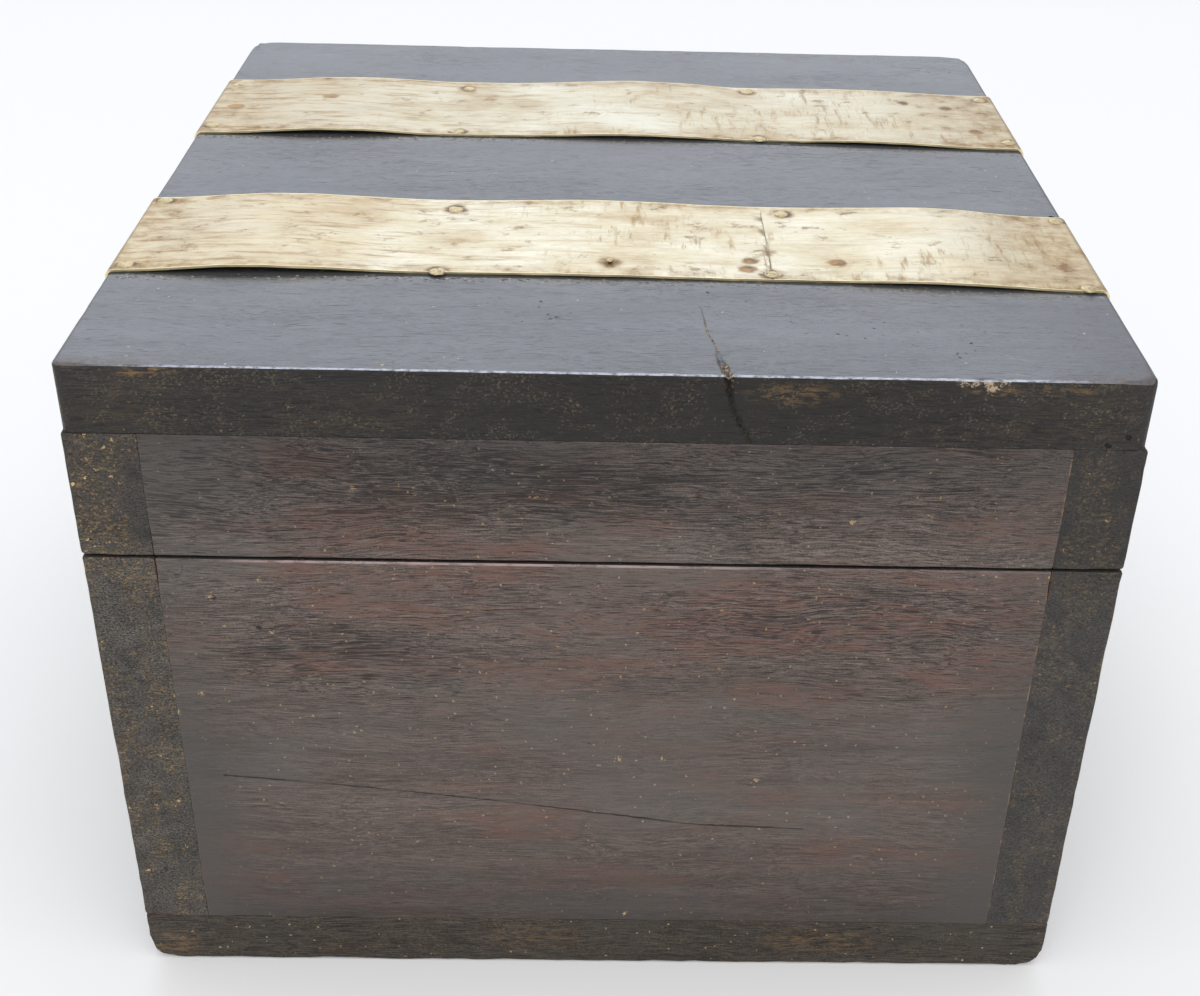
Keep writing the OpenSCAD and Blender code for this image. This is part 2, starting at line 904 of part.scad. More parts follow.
module strap(x, width, shares, ripples, stagger) {
    outer = (width - middle_knuckle) / 2 - knuckle_gap;
    difference() {
        translate([x, 0, 0])
            along_x(width)
                strap_section(shares, ripples);
        slab(
            middle_knuckle + 2 * knuckle_gap, 4 * sheet, knuckle_radius + knuckle_room + past,
            x = x, y = half_d, z = hinge_z - past
        );
        strap_nail_places(x, width, shares, stagger) strap_nail_hole();
    }
    for (side = [-1, 1])
        knuckle(x + side * (width - outer) / 2, outer, pin_radius + pin_clearance);
}

module right_strap() {
    color(brass_colour)
        difference() {
            strap(right_strap_offset, right_strap_width, right_shares, right_ripples, right_stagger);
            tack_place() tack_hole();
        }
}

module left_strap() {
    color(brass_colour)
        strap(-left_strap_offset, left_strap_width, left_shares, left_ripples, left_stagger);
}

module right_strap_nails() {
    color(brass_colour) {
        strap_nail_places(right_strap_offset, right_strap_width, right_shares, right_stagger)
            strap_nail();
        tack_place()
            domed_nail(tack_head_radius, tack_height, tack_shank_radius, tack_length);
    }
}

module left_strap_nails() {
    color(brass_colour)
        strap_nail_places(-left_strap_offset, left_strap_width, left_shares, left_stagger)
            strap_nail();
}

module link_screw_places() {
    for (x = [-1, 1] * selvedge_screw_x)
        translate([x, works_y, lid_bottom])
            rotate([180, 0, 0])
                children();
}

// The plate let into the lid's front rail, with the loop that the bolt holds
module link_plate() {
    color(brass_colour)
        difference() {
            union() {
                translate([-selvedge_length / 2, pocket_y - selvedge_lip, lid_bottom])
                    cube([selvedge_length, lock_depth + selvedge_lip, lock_plate]);
                translate([0, works_y, 0])
                    along_x(loop_thickness) {
                        translate([-loop_width / 2, eye_z])
                            square([loop_width, lid_bottom + lock_plate - eye_z]);
                        translate([0, eye_z])
                            circle(loop_width / 2);
                    }
            }
            translate([0, works_y, eye_z])
                rotate([0, 90, 0])
                    cylinder(r = eye_radius, h = loop_thickness + 2 * past, center = true);
            link_screw_places() screw_hole();
        }
}

module link_plate_screws() {
    color(brass_colour)
        link_screw_places() screw();
}

// Tray

module tray_brad_places(face) {
    for (x = [-1, 1] * (tray_length - tray_side) / 2, share = [0.25, 0.75])
        translate([x, face * tray_depth / 2, tray_floor + share * (tray_top - tray_floor)])
            rotate([-90 * face, 0, 0])
                children();
}

module tray_long_side(face) {
    color(tray_colour)
        difference() {
            slab(
                tray_length, tray_side, tray_top - tray_floor,
                y = face * (tray_depth - tray_side) / 2, z = tray_floor
            );
            tray_brad_places(face) brad_hole();
        }
}

module tray_end(side) {
    color(tray_colour)
        difference() {
            slab(
                tray_side, tray_depth - 2 * tray_side, tray_top - tray_floor,
                x = side * (tray_length - tray_side) / 2, z = tray_floor
            );
            translate([side * (tray_length - tray_side) / 2, 0, tray_top])
                rotate([0, 90, 0])
                    cylinder(r = notch_radius, h = tray_side + 2 * past, center = true);
            tray_brad_places(-1) brad_hole();
            tray_brad_places(1) brad_hole();
        }
}

module tray_bottom() {
    color(tray_colour)
        slab(tray_length, tray_depth, tray_bottom_thickness, z = tray_z);
}

module tray_brads() {
    color(brass_colour)
        for (face = [-1, 1])
            tray_brad_places(face) brad();
}

// Dividers 1 to 3 and bays 1 to 4 are counted from the front
module tray_divider(i) {
    pitch = bay_width + divider_thickness;
    color(tray_colour)
        slab(
            tray_length - 2 * tray_side, divider_thickness, divider_height,
            y = (i - 2) * pitch, z = tray_floor
        );
}

module tray_lining(i) {
    pitch = bay_width + divider_thickness;
    color(baize_colour)
        slab(
            tray_length - 2 * tray_side - 2 * baize_gap, bay_width - 2 * baize_gap, tray_baize,
            y = (i - 2.5) * pitch, z = tray_floor
        );
}

bottom_board();
front_board();
back_board();
end_panel(1);  // right_end_panel
end_panel(-1);  // left_end_panel
carcass_nails();
tray_ledge(-1);  // front_tray_ledge
tray_ledge(1);  // back_tray_ledge
ledge_brads();
floor_lining();
lock_case();
lock_cap();
lock_spring();
lock_screws();
escutcheon();
escutcheon_pins();
hinge_leaf(right_strap_offset, right_strap_width);  // right_hinge_leaf
hinge_leaf(-left_strap_offset, left_strap_width);  // left_hinge_leaf
hinge_pin(right_strap_offset, right_strap_width);  // right_hinge_pin
hinge_pin(-left_strap_offset, left_strap_width);  // left_hinge_pin
hinge_leaf_nails();
lid_top_board();
lid_front_rail();
lid_back_rail();
lid_end_rail(1);  // lid_right_rail
lid_end_rail(-1);  // lid_left_rail
lid_nails();
lid_lining();
right_strap();
left_strap();
right_strap_nails();
left_strap_nails();
link_plate();
link_plate_screws();
tray_long_side(-1);  // tray_front
tray_long_side(1);  // tray_back
tray_end(1);  // tray_right_end
tray_end(-1);  // tray_left_end
tray_bottom();
tray_brads();
tray_divider(1);  // tray_divider_front
tray_divider(2);  // tray_divider_middle
tray_divider(3);  // tray_divider_back
tray_lining(1);  // tray_lining_1
tray_lining(2);  // tray_lining_2
tray_lining(3);  // tray_lining_3
tray_lining(4);  // tray_lining_4
lock_bolt();
key();
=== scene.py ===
import json
import math

import bmesh
import bpy
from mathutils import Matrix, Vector, noise

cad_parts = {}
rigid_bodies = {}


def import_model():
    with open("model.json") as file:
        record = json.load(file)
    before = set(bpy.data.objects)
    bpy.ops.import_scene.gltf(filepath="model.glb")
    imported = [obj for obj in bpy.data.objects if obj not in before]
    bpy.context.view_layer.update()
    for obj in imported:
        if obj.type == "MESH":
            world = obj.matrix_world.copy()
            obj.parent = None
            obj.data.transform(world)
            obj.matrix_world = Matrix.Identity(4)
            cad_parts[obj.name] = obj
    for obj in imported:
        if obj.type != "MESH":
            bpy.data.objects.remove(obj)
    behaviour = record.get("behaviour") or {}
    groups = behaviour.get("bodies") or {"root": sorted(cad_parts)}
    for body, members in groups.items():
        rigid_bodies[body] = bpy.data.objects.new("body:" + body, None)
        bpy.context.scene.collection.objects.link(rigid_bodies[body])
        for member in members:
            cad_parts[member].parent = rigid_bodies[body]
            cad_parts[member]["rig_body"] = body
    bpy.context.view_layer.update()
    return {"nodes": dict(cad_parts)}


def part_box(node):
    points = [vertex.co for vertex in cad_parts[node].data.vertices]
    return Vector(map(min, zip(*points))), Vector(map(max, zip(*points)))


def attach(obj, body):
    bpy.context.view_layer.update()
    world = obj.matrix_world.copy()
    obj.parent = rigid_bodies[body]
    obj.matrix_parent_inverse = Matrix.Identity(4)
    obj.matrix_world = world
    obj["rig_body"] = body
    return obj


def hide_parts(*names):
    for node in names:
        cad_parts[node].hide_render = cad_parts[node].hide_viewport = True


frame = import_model()
nodes = frame["nodes"]
mm = 0.001

# The camera and the room

shot = {
    "place": (482.3, -1.7, 368.1),  # mm from the chest's origin
    "turn": (58.05, -1.41, 89.42),
    "lens": 50.32,
    "sensor": 36.0,
    "shift": (-0.0299, 0.0259),
}

room = {
    "floorWidth": 14.0,
    "paper": (0.78, 0.775, 0.77),
    "backdrop": (0.88, 0.92, 0.97),
    "daylight": (0.95, 0.97, 1.0),
    "worldLevel": 0.87,
    "lights": {
        "windowLight": {"place": (-4.3, -0.5, 2.75), "size": (4.8, 2.4), "power": 76.0,
                        "colour": (0.805, 0.88, 1.0)},
        "ceilingLight": {"place": (0.9, 0.1, 2.5), "size": (2.6, 2.6), "power": 24.0,
                         "colour": (0.98, 0.985, 1.0)},
        "frontLight": {"place": (2.4, -0.3, 1.5), "size": (2.6, 1.6), "power": 24.0,
                       "colour": (1.0, 0.975, 0.94)},
    },
}


def makeCamera():
    data = bpy.data.cameras.new("shotCamera")
    data.sensor_fit = "HORIZONTAL"
    data.sensor_width = shot["sensor"]
    data.lens = shot["lens"]
    data.shift_x, data.shift_y = shot["shift"]
    data.clip_start = 0.01
    camera = bpy.data.objects.new("shotCamera", data)
    camera.location = Vector(shot["place"]) * mm
    camera.rotation_euler = [math.radians(angle) for angle in shot["turn"]]
    bpy.context.scene.collection.objects.link(camera)
    bpy.context.scene.camera = camera


def makeLight(name, look):
    data = bpy.data.lights.new(name, "AREA")
    data.shape = "RECTANGLE"
    data.size, data.size_y = look["size"]
    data.energy = look["power"]
    data.color = look["colour"]
    light = bpy.data.objects.new(name, data)
    light.location = look["place"]
    aim = Vector((0.0, 0.0, 0.1)) - Vector(look["place"])
    light.rotation_euler = aim.to_track_quat("-Z", "Y").to_euler()
    bpy.context.scene.collection.objects.link(light)


def makeRoom():
    bm = bmesh.new()
    bmesh.ops.create_grid(bm, x_segments=2, y_segments=2, size=room["floorWidth"] / 2)
    bmesh.ops.translate(bm, verts=bm.verts, vec=(0, 0, -0.1 * mm))
    mesh = bpy.data.meshes.new("floor")
    bm.to_mesh(mesh)
    bm.free()
    floor = bpy.data.objects.new("floor", mesh)
    bpy.context.scene.collection.objects.link(floor)
    paper, tree = newMaterial("paleFloor")
    shade(tree, colour=(*room["paper"], 1.0), roughness=0.9, specular=0.03)
    mesh.materials.append(paper)
    for name, look in room["lights"].items():
        makeLight(name, look)
    world = bpy.data.worlds.new("room")
    bpy.context.scene.world = world
    world.use_nodes = True
    tree = world.node_tree
    tree.nodes.clear()
    path = put(tree, "LightPath")
    seen = calc(tree, "MAXIMUM", path.outputs["Is Camera Ray"], path.outputs["Is Transmission Ray"])
    level = blendValues(tree, seen, room["worldLevel"], 1.0)
    colour = mixOf(tree, seen, room["daylight"], room["backdrop"])
    back = put(tree, "Background", {"Color": colour, "Strength": level})
    out = put(tree, "OutputWorld", {"Surface": back.outputs[0]})
    out.is_active_output = True
    bpy.context.scene.view_settings.view_transform = "Standard"


# Shader building: each function adds nodes to a tree and gives back the socket that holds the result

def newMaterial(name):
    material = bpy.data.materials.new(name)
    material.use_nodes = True
    material.node_tree.nodes.clear()
    return material, material.node_tree


def put(tree, kind, inputs=None, **settings):
    made = tree.nodes.new("ShaderNode" + kind)
    for name, value in settings.items():
        setattr(made, name, value)
    for name, value in (inputs or {}).items():
        socket = made.inputs[name]
        if isinstance(value, bpy.types.NodeSocket):
            tree.links.new(value, socket)
        else:
            socket.default_value = value
    return made


def calc(tree, operation, first, second=0.0, third=0.0):
    made = put(tree, "Math", {0: first, 1: second, 2: third}, operation=operation)
    return made.outputs[0]


def chained(tree, operation, values):
    total = values[0]
    for value in values[1:]:
        total = calc(tree, operation, total, value)
    return total


def plus(tree, *values):
    return chained(tree, "ADD", values)


def times(tree, *values):
    return chained(tree, "MULTIPLY", values)


def most(tree, *values):
    return chained(tree, "MAXIMUM", values)


def less(tree, value, taken):
    return calc(tree, "SUBTRACT", value, taken)


def gapTo(tree, value, place=0.0):
    # How far a value lies from a place, to either side
    return calc(tree, "ABSOLUTE", less(tree, value, place) if place else value)


def swing(tree, value, reach):
    # Turns noise from 0 to 1 into a swing to either side
    return times(tree, less(tree, value, 0.5), reach)


def clamped(tree, value):
    return put(tree, "Clamp", {"Value": value}).outputs[0]


def vectorCalc(tree, operation, first, second, third=(0.0, 0.0, 0.0)):
    made = put(tree, "VectorMath", {0: first, 1: second, 2: third}, operation=operation)
    return made.outputs["Value"] if operation in ("DISTANCE", "DOT_PRODUCT") else made.outputs[0]


def ease(tree, value, low, high, start=0.0, end=1.0):
    inputs = {"Value": value, "From Min": low, "From Max": high, "To Min": start, "To Max": end}
    return put(tree, "MapRange", inputs, interpolation_type="SMOOTHSTEP").outputs["Result"]


def blendValues(tree, factor, first, second):
    made = put(tree, "Mix", {0: factor, 2: first, 3: second}, data_type="FLOAT")
    return made.outputs[0]


def mixOf(tree, factor, first, second, way="MIX"):
    inputs = {0: factor}
    for index, colour in ((6, first), (7, second)):
        inputs[index] = (*colour, 1.0) if isinstance(colour, tuple) else colour
    return put(tree, "Mix", inputs, data_type="RGBA", blend_type=way).outputs[2]


def rampOf(tree, value, stops):
    made = put(tree, "ValToRGB", {"Fac": value})
    elements = made.color_ramp.elements
    while len(elements) < len(stops):
        elements.new(0.5)
    for element, (place, colour) in zip(elements, stops):
        element.position = place
        element.color = (*colour, 1.0)
    return made.outputs["Color"]


def objectPlace(tree):
    coords = put(tree, "TexCoord")
    made = put(tree, "VectorMath", {0: coords.outputs["Object"], "Scale": 1 / mm}, operation="SCALE")
    return made.outputs[0]


def stretch(tree, vector, factors):
    return vectorCalc(tree, "MULTIPLY", vector, factors)


def noiseOf(tree, vector, factors, detail=2.0, rough=0.5, twist=0.0):
    inputs = {"Vector": stretch(tree, vector, factors), "Scale": 1.0, "Detail": detail,
              "Roughness": rough, "Distortion": twist}
    return put(tree, "TexNoise", inputs).outputs["Fac"]


def alongGrain(tree, place, grain):
    parts = put(tree, "SeparateXYZ", {0: place}).outputs
    order = {"x": (0, 1, 2), "y": (1, 0, 2)}[grain]
    turned = put(tree, "CombineXYZ", {i: parts[part] for i, part in enumerate(order)})
    return turned.outputs[0]


def wavy(tree, grained, stretchBy, reach):
    inputs = {"Vector": stretch(tree, grained, stretchBy), "Scale": 1.0, "Detail": 1.5}
    swirl = put(tree, "TexNoise", inputs)
    centred = vectorCalc(tree, "SUBTRACT", swirl.outputs["Color"], (0.5, 0.5, 0.5))
    return vectorCalc(tree, "MULTIPLY_ADD", centred, reach, grained)


def specks(tree, place, perMm, chosen, size, twist=0.35):
    # Small grains: one cell in some holds a grain, bent out of round by noise
    swirl = put(tree, "TexNoise", {"Vector": place, "Scale": perMm * 3}).outputs["Color"]
    bent = vectorCalc(tree, "MULTIPLY_ADD", swirl, (twist / perMm,) * 3, place)
    cells = put(tree, "TexVoronoi", {"Vector": bent, "Scale": perMm})
    pick = put(tree, "TexWhiteNoise", {"Vector": cells.outputs["Color"]}).outputs["Value"]
    picked = calc(tree, "GREATER_THAN", pick, 1 - chosen)
    near = ease(tree, cells.outputs["Distance"], size * perMm, size * perMm * 0.55)
    return times(tree, picked, near)


def nearest(tree, place, points):
    # Distance in mm to the closest of some points
    return chained(tree, "MINIMUM", [vectorCalc(tree, "DISTANCE", place, point) for point in points])


def bumpOf(tree, height, distance, under=None):
    inputs = {"Height": height, "Distance": distance * mm}
    if under is not None:
        inputs["Normal"] = under
    return put(tree, "Bump", inputs).outputs[0]


def shade(tree, colour, roughness=0.5, metallic=0.0, normal=None, specular=0.5, **constants):
    inputs = {"Base Color": colour, "Roughness": roughness, "Metallic": metallic,
              "Specular IOR Level": specular}
    if normal is not None:
        inputs["Normal"] = normal
    made = put(tree, "BsdfPrincipled", inputs)
    for name, value in constants.items():
        made.inputs[name.replace("_", " ")].default_value = value
    out = put(tree, "OutputMaterial", {"Surface": made.outputs[0]})
    out.is_active_output = True
    return made


# Woods

woods = {
    # Ends of the chest: rosewood with fine open pores, reddish where the dirt has rubbed off
    "panelWood": {
        "grain": "y", "dark": (0.060, 0.043, 0.036), "mid": (0.131, 0.097, 0.082),
        "red": (0.152, 0.070, 0.050), "redShare": (0.47, 0.70), "grey": (0.116, 0.106, 0.096),
        "greyShare": (0.42, 0.66), "pores": 0.85, "poreDepth": 0.16, "rough": 0.5, "crumbs": 0.13,
        "fine": 0.20, "dust": 0.14, "specular": 0.45, "swell": 0.3, "lines": 0.74, "marks": ["panel"],
    },
    # Front and back, with the grain running from end to end
    "sideWood": {
        "grain": "x", "dark": (0.050, 0.036, 0.031), "mid": (0.105, 0.077, 0.066),
        "red": (0.140, 0.062, 0.046), "redShare": (0.47, 0.68), "grey": (0.098, 0.089, 0.083),
        "greyShare": (0.42, 0.66), "pores": 0.85, "poreDepth": 0.16, "rough": 0.5, "crumbs": 0.12,
        "fine": 0.18, "dust": 0.14, "specular": 0.45, "swell": 0.3, "lines": 0.6, "marks": ["side"],
    },
    # Top board: nearly black, waxed and rubbed smooth; the blue lean of its tones, and the lightness of
    # its grey, are a painted reflection of the bluish backdrop
    "topWood": {
        "grain": "y", "dark": (0.016, 0.016, 0.021), "mid": (0.027, 0.026, 0.034),
        "red": (0.036, 0.025, 0.028), "redShare": (0.60, 0.78), "grey": (0.038, 0.041, 0.052),
        "greyShare": (0.45, 0.70), "pores": 0.5, "poreDepth": 0.10, "rough": 0.36, "crumbs": 0.06,
        "fine": 0.02, "dust": 0.05, "specular": 0.98, "swell": 0.05, "roughReach": 0.03,
        "marks": ["split", "top"],
    },
    # Edges of the top and bottom boards: charcoal, dry, with fine saw lines
    "edgeWood": {
        "grain": "y", "dark": (0.020, 0.0165, 0.013), "mid": (0.055, 0.044, 0.035),
        "red": (0.070, 0.042, 0.025), "redShare": (0.55, 0.75), "grey": (0.052, 0.047, 0.039),
        "greyShare": (0.46, 0.68), "pores": 0.7, "poreDepth": 0.16, "rough": 0.62, "crumbs": 0.10,
        "fine": 0.16, "dust": 0.30, "specular": 0.26, "swell": 0.25, "lines": 0.62,
        "marks": ["split", "edge"],
    },
    # Inner faces, clean and dull
    "insideWood": {
        "grain": "x", "dark": (0.050, 0.027, 0.017), "mid": (0.135, 0.070, 0.042),
        "red": (0.170, 0.066, 0.036), "redShare": (0.45, 0.62), "grey": (0.110, 0.090, 0.072),
        "greyShare": (0.55, 0.72), "pores": 0.8, "poreDepth": 0.12, "rough": 0.58, "crumbs": 0.03,
        "fine": 0.04, "dust": 0.05, "specular": 0.4,
    },
    # Tray: reddish cedar-like boards
    "trayWoodLong": {
        "grain": "x", "dark": (0.095, 0.042, 0.022), "mid": (0.230, 0.115, 0.062),
        "red": (0.240, 0.095, 0.050), "redShare": (0.42, 0.62), "grey": (0.170, 0.125, 0.085),
        "greyShare": (0.58, 0.75), "pores": 0.7, "poreDepth": 0.08, "rough": 0.5, "crumbs": 0.02,
        "fine": 0.03, "dust": 0.03, "specular": 0.45,
    },
}
woods["insideEndWood"] = {**woods["insideWood"], "grain": "y"}
woods["trayWoodCross"] = {**woods["trayWoodLong"], "grain": "y"}

# Places of marks on the near end, in mm
panelMarks = {
    # Reddish and greyish areas: centre across and up, reach across and up, tint
    "blooms": [
        (-60, 120, 60, 22, 0.05), (20, 118, 60, 26, 0.08), (80, 112, 45, 26, 0.06),
        (0, 42, 70, 14, 0.05), (60, 75, 40, 16, 0.02), (-70, 78, 34, 16, -0.08),
        (40, 88, 40, 10, -0.03), (-40, 152, 60, 10, 0.05), (70, 156, 40, 9, 0.03),
        (0, 62, 60, 8, -0.04), (-95, 100, 20, 40, -0.04),
    ],
    # How light the wood is, by height as a share of the reach: darker low down and towards the top of the
    # lid
    "heightDarkening": [(0.0, 0.28), (0.10, 0.42), (0.13, 0.50), (0.23, 0.72), (0.34, 0.81), (0.46, 0.74),
               (0.58, 0.79), (0.69, 0.84), (0.80, 0.79), (0.88, 0.63), (0.97, 0.40)],
    "reach": 180.0,
    # Where the pores stand open most
    "openings": [(-68, 108, 34, 12, 0.10), (-60, 158, 70, 16, 0.07), (30, 162, 90, 12, 0.07),
                 (60, 122, 60, 16, 0.05)],
    "check": [(132, -101.9, 69.3), (132, -62, 65.5), (132, -28.5, 61.4), (132, 3, 57.0), (132, 24, 53.8),
              (132, 56, 52.4)],
    "pits": [(132, -88.0, 118.3), (132, -98.8, 127.5)],
    "crumbs": [(132, -114.8, 143.1), (132, 4.3, 76.7), (132, 41.9, 69.8), (132, 16, 76.9),
               (132, 7.3, 19.4), (132, 60.4, 152.6), (132, -85, 117), (132, -111.9, 90.6),
               (132, -99.5, 127.7), (132, 111.8, 137), (132, -61.8, 159.9), (132, -86.9, 133.1),
               (132, -105.1, 97)],
    "crumbTones": [(0.36, (0.42, 0.30, 0.15)), (0.58, (0.22, 0.125, 0.05))],
    "joint": 111.9,
    "seam": 138.85,
}

edgeMarks = {
    # Ochre where the dirt is rubbed away: centre across and up, reach across and up, strength
    "rubs": [(-19, 10, 12, 6, 0.6), (63, 9, 16, 5, 0.8), (-122, 6, 7, 6, 0.9), (44, 187.4, 12, 3, 0.7),
             (-108, 190.4, 7, 1.4, 1.3), (90, 189.6, 7, 2.0, 0.9), (106, 189.4, 9, 1.5, 0.6),
             (112, 184, 16, 7, 0.12), (-112, 181, 14, 8, 0.16), (-60, 179, 20, 5, 0.12),
             (95, 178, 30, 4, 0.12)],
    "pits": [(132, 124.3, 177.6), (132, 119.6, 175.2)],
    "shade": [(22, 183, 90, 14, 0.5)],
    "chips": [(131.6, 83.0, 191.9), (131.4, 86.0, 191.6), (131.6, 89.0, 191.3), (131.4, 92.5, 191.8),
              (131.9, 90.0, 189.9)],
}

topMarks = {
    "scratch": [(124, 101, 192), (114, 110.5, 192), (103, 118, 192)],
    "scrape": [(120.5, 84, 192), (118.5, 93, 192), (121, 101, 192)],
    "arris": [(131.8, -124.0, 191.8), (131.8, 124.0, 191.8)],
    # Grit, and a painted shadow under the lifted sheet, lie along the near edges of the two straps, most
    # where the first one stands up
    "grit": [75.9, -33.0],
    "dots": [(108, 66, 192), (112, 84, 192), (100, 52, 192), (96, -20, 192), (88, 30, 192)],
}

split = {
    "onTop": [(92.9, 23.0, 192), (108.7, 24.0, 192), (115.4, 25.6, 192), (120.6, 25.9, 192),
              (126.6, 26.9, 192)],
    "onEdge": [(132, 27.9, 191), (132, 27.7, 189.4), (132, 28.6, 185.8), (132, 29.8, 181.8),
               (132, 31.1, 179.2), (132, 32.4, 177.3), (132, 34.0, 174.0)],
    "notch": [(125.4, 26.7, 192), (129.4, 27.4, 192), (132, 28.1, 191.4), (132, 28.3, 189.2)],
}


def pathGap(tree, place, points):
    # Distance in mm to a chain of straight stretches
    gaps = []
    for start, end in zip(points[:-1], points[1:]):
        way = Vector(end) - Vector(start)
        off = vectorCalc(tree, "SUBTRACT", place, start)
        share = calc(tree, "DIVIDE", vectorCalc(tree, "DOT_PRODUCT", off, tuple(way)), way.length_squared)
        inputs = {0: tuple(way), "Scale": clamped(tree, share)}
        foot = put(tree, "VectorMath", inputs, operation="SCALE").outputs[0]
        gaps.append(vectorCalc(tree, "DISTANCE", off, foot))
    return chained(tree, "MINIMUM", gaps)


def bloomOf(tree, parts, blooms):
    # Sum of soft oval areas seen square to the near end
    tints = []
    for y, z, reachY, reachZ, tint in blooms:
        across = calc(tree, "DIVIDE", less(tree, parts[1], y), reachY)
        up = calc(tree, "DIVIDE", less(tree, parts[2], z), reachZ)
        away = plus(tree, times(tree, across, across), times(tree, up, up))
        tints.append(ease(tree, away, 1.6, 0.0, 0.0, tint))
    return plus(tree, *tints)


def lay(tree, wood, share, colour):
    # Lays a colour over the wood where the share is high
    wood["colour"] = mixOf(tree, share, wood["colour"], colour)


def makeRough(tree, wood, share, rough):
    wood["roughness"] = blendValues(tree, share, wood["roughness"], rough)


def hollow(tree, wood, share, depth):
    wood["height"] = less(tree, wood["height"], times(tree, share, depth))


# Multiplies the colour darker low down and towards the top of the lid, by height
def darkenByHeight(tree, wood):
    height = calc(tree, "DIVIDE", wood["parts"][2], panelMarks["reach"])
    clean = rampOf(tree, height, [(place, (share,) * 3) for place, share in panelMarks["heightDarkening"]])
    wood["colour"] = mixOf(tree, 1.0, wood["colour"], clean, "MULTIPLY")


def markPanel(tree, wood):
    place, parts = wood["place"], wood["parts"]
    darkenByHeight(tree, wood)
    # Next to the end grain of the long boards the panel is as dark as they are
    aside = plus(tree, gapTo(tree, parts[1]), times(tree, wood["greyness"], 18.0))
    soot = times(tree, ease(tree, aside, 94.0, 121.0, 0.0, 0.82),
                 ease(tree, parts[2], 130.0, 70.0, 0.35, 1.0))
    lay(tree, wood, soot, (0.050, 0.045, 0.040))
    wander = swing(tree, wood["fibre"], 1.4)
    gap = gapTo(tree, plus(tree, pathGap(tree, place, panelMarks["check"]), wander))
    faded = noiseOf(tree, place, (0.06, 0.06, 0.06))
    checked = times(tree, ease(tree, gap, 0.30, 0.08), ease(tree, faded, 0.36, 0.56, 0.25, 0.9))
    ragged = noiseOf(tree, place, (1.1, 1.1, 1.6), detail=3.0, rough=0.7)
    ragged = swing(tree, ragged, 2.6)
    pits = ease(tree, plus(tree, nearest(tree, place, panelMarks["pits"]), ragged), 0.9, 0.4)
    sunk = most(tree, checked, pits)
    lay(tree, wood, sunk, (0.007, 0.006, 0.005))
    hollow(tree, wood, sunk, 1.5)
    broken = noiseOf(tree, place, (0.1, 0.12, 0.22), detail=4.0, rough=0.7)
    seamY = gapTo(tree, gapTo(tree, parts[1]), panelMarks["joint"])
    fill = times(tree, ease(tree, seamY, 0.45, 0.12), ease(tree, broken, 0.50, 0.60),
                 ease(tree, parts[1], -112.0, 60.0, 0.15, 0.8))
    lay(tree, wood, fill, (0.19, 0.115, 0.055))
    lumps = noiseOf(tree, place, (2.3, 2.3, 2.3), detail=3.0, rough=0.65)
    scatter = plus(tree, nearest(tree, place, panelMarks["crumbs"]), swing(tree, lumps, 4.0))
    lay(tree, wood, ease(tree, scatter, 0.55, 0.25), rampOf(tree, lumps, panelMarks["crumbTones"]))
    # The rim just below the seam is rubbed smooth and carries a thin pinkish painted highlight
    rim = gapTo(tree, parts[2], panelMarks["seam"] - 0.35)
    rim = times(tree, ease(tree, rim, 0.45, 0.2), ease(tree, broken, 0.36, 0.52, 0.3, 1.0),
                ease(tree, parts[1], -104.0, -80.0), ease(tree, parts[1], 70.0, 10.0, 0.15, 1.0))
    lay(tree, wood, times(tree, rim, 0.65), (0.40, 0.29, 0.28))
    makeRough(tree, wood, rim, 0.25)


def markSplit(tree, wood):
    place = wood["place"]
    wander = swing(tree, noiseOf(tree, place, (1.3,) * 3, detail=3.0), 1.2)
    onTop = plus(tree, pathGap(tree, place, split["onTop"]), times(tree, gapTo(tree, wander), 0.5))
    onEdge = plus(tree, pathGap(tree, place, split["onEdge"]), wander)
    notch = plus(tree, pathGap(tree, place, split["notch"]), wander)
    fresh = ease(tree, wood["parts"][0], 92.0, 112.0, 0.25, 1.0)
    opening = most(tree, times(tree, ease(tree, onTop, 0.30, 0.10), fresh),
                   ease(tree, gapTo(tree, onEdge), 0.50, 0.22), ease(tree, notch, 1.25, 0.8))
    crumbly = noiseOf(tree, place, (0.9, 0.9, 0.9), detail=3.0, rough=0.7)
    inside = rampOf(tree, crumbly, [(0.40, (0.008, 0.006, 0.005)), (0.48, (0.10, 0.06, 0.03)),
                                    (0.60, (0.42, 0.30, 0.16))])
    lay(tree, wood, opening, inside)
    makeRough(tree, wood, opening, 0.9)
    hollow(tree, wood, opening, 2.0)


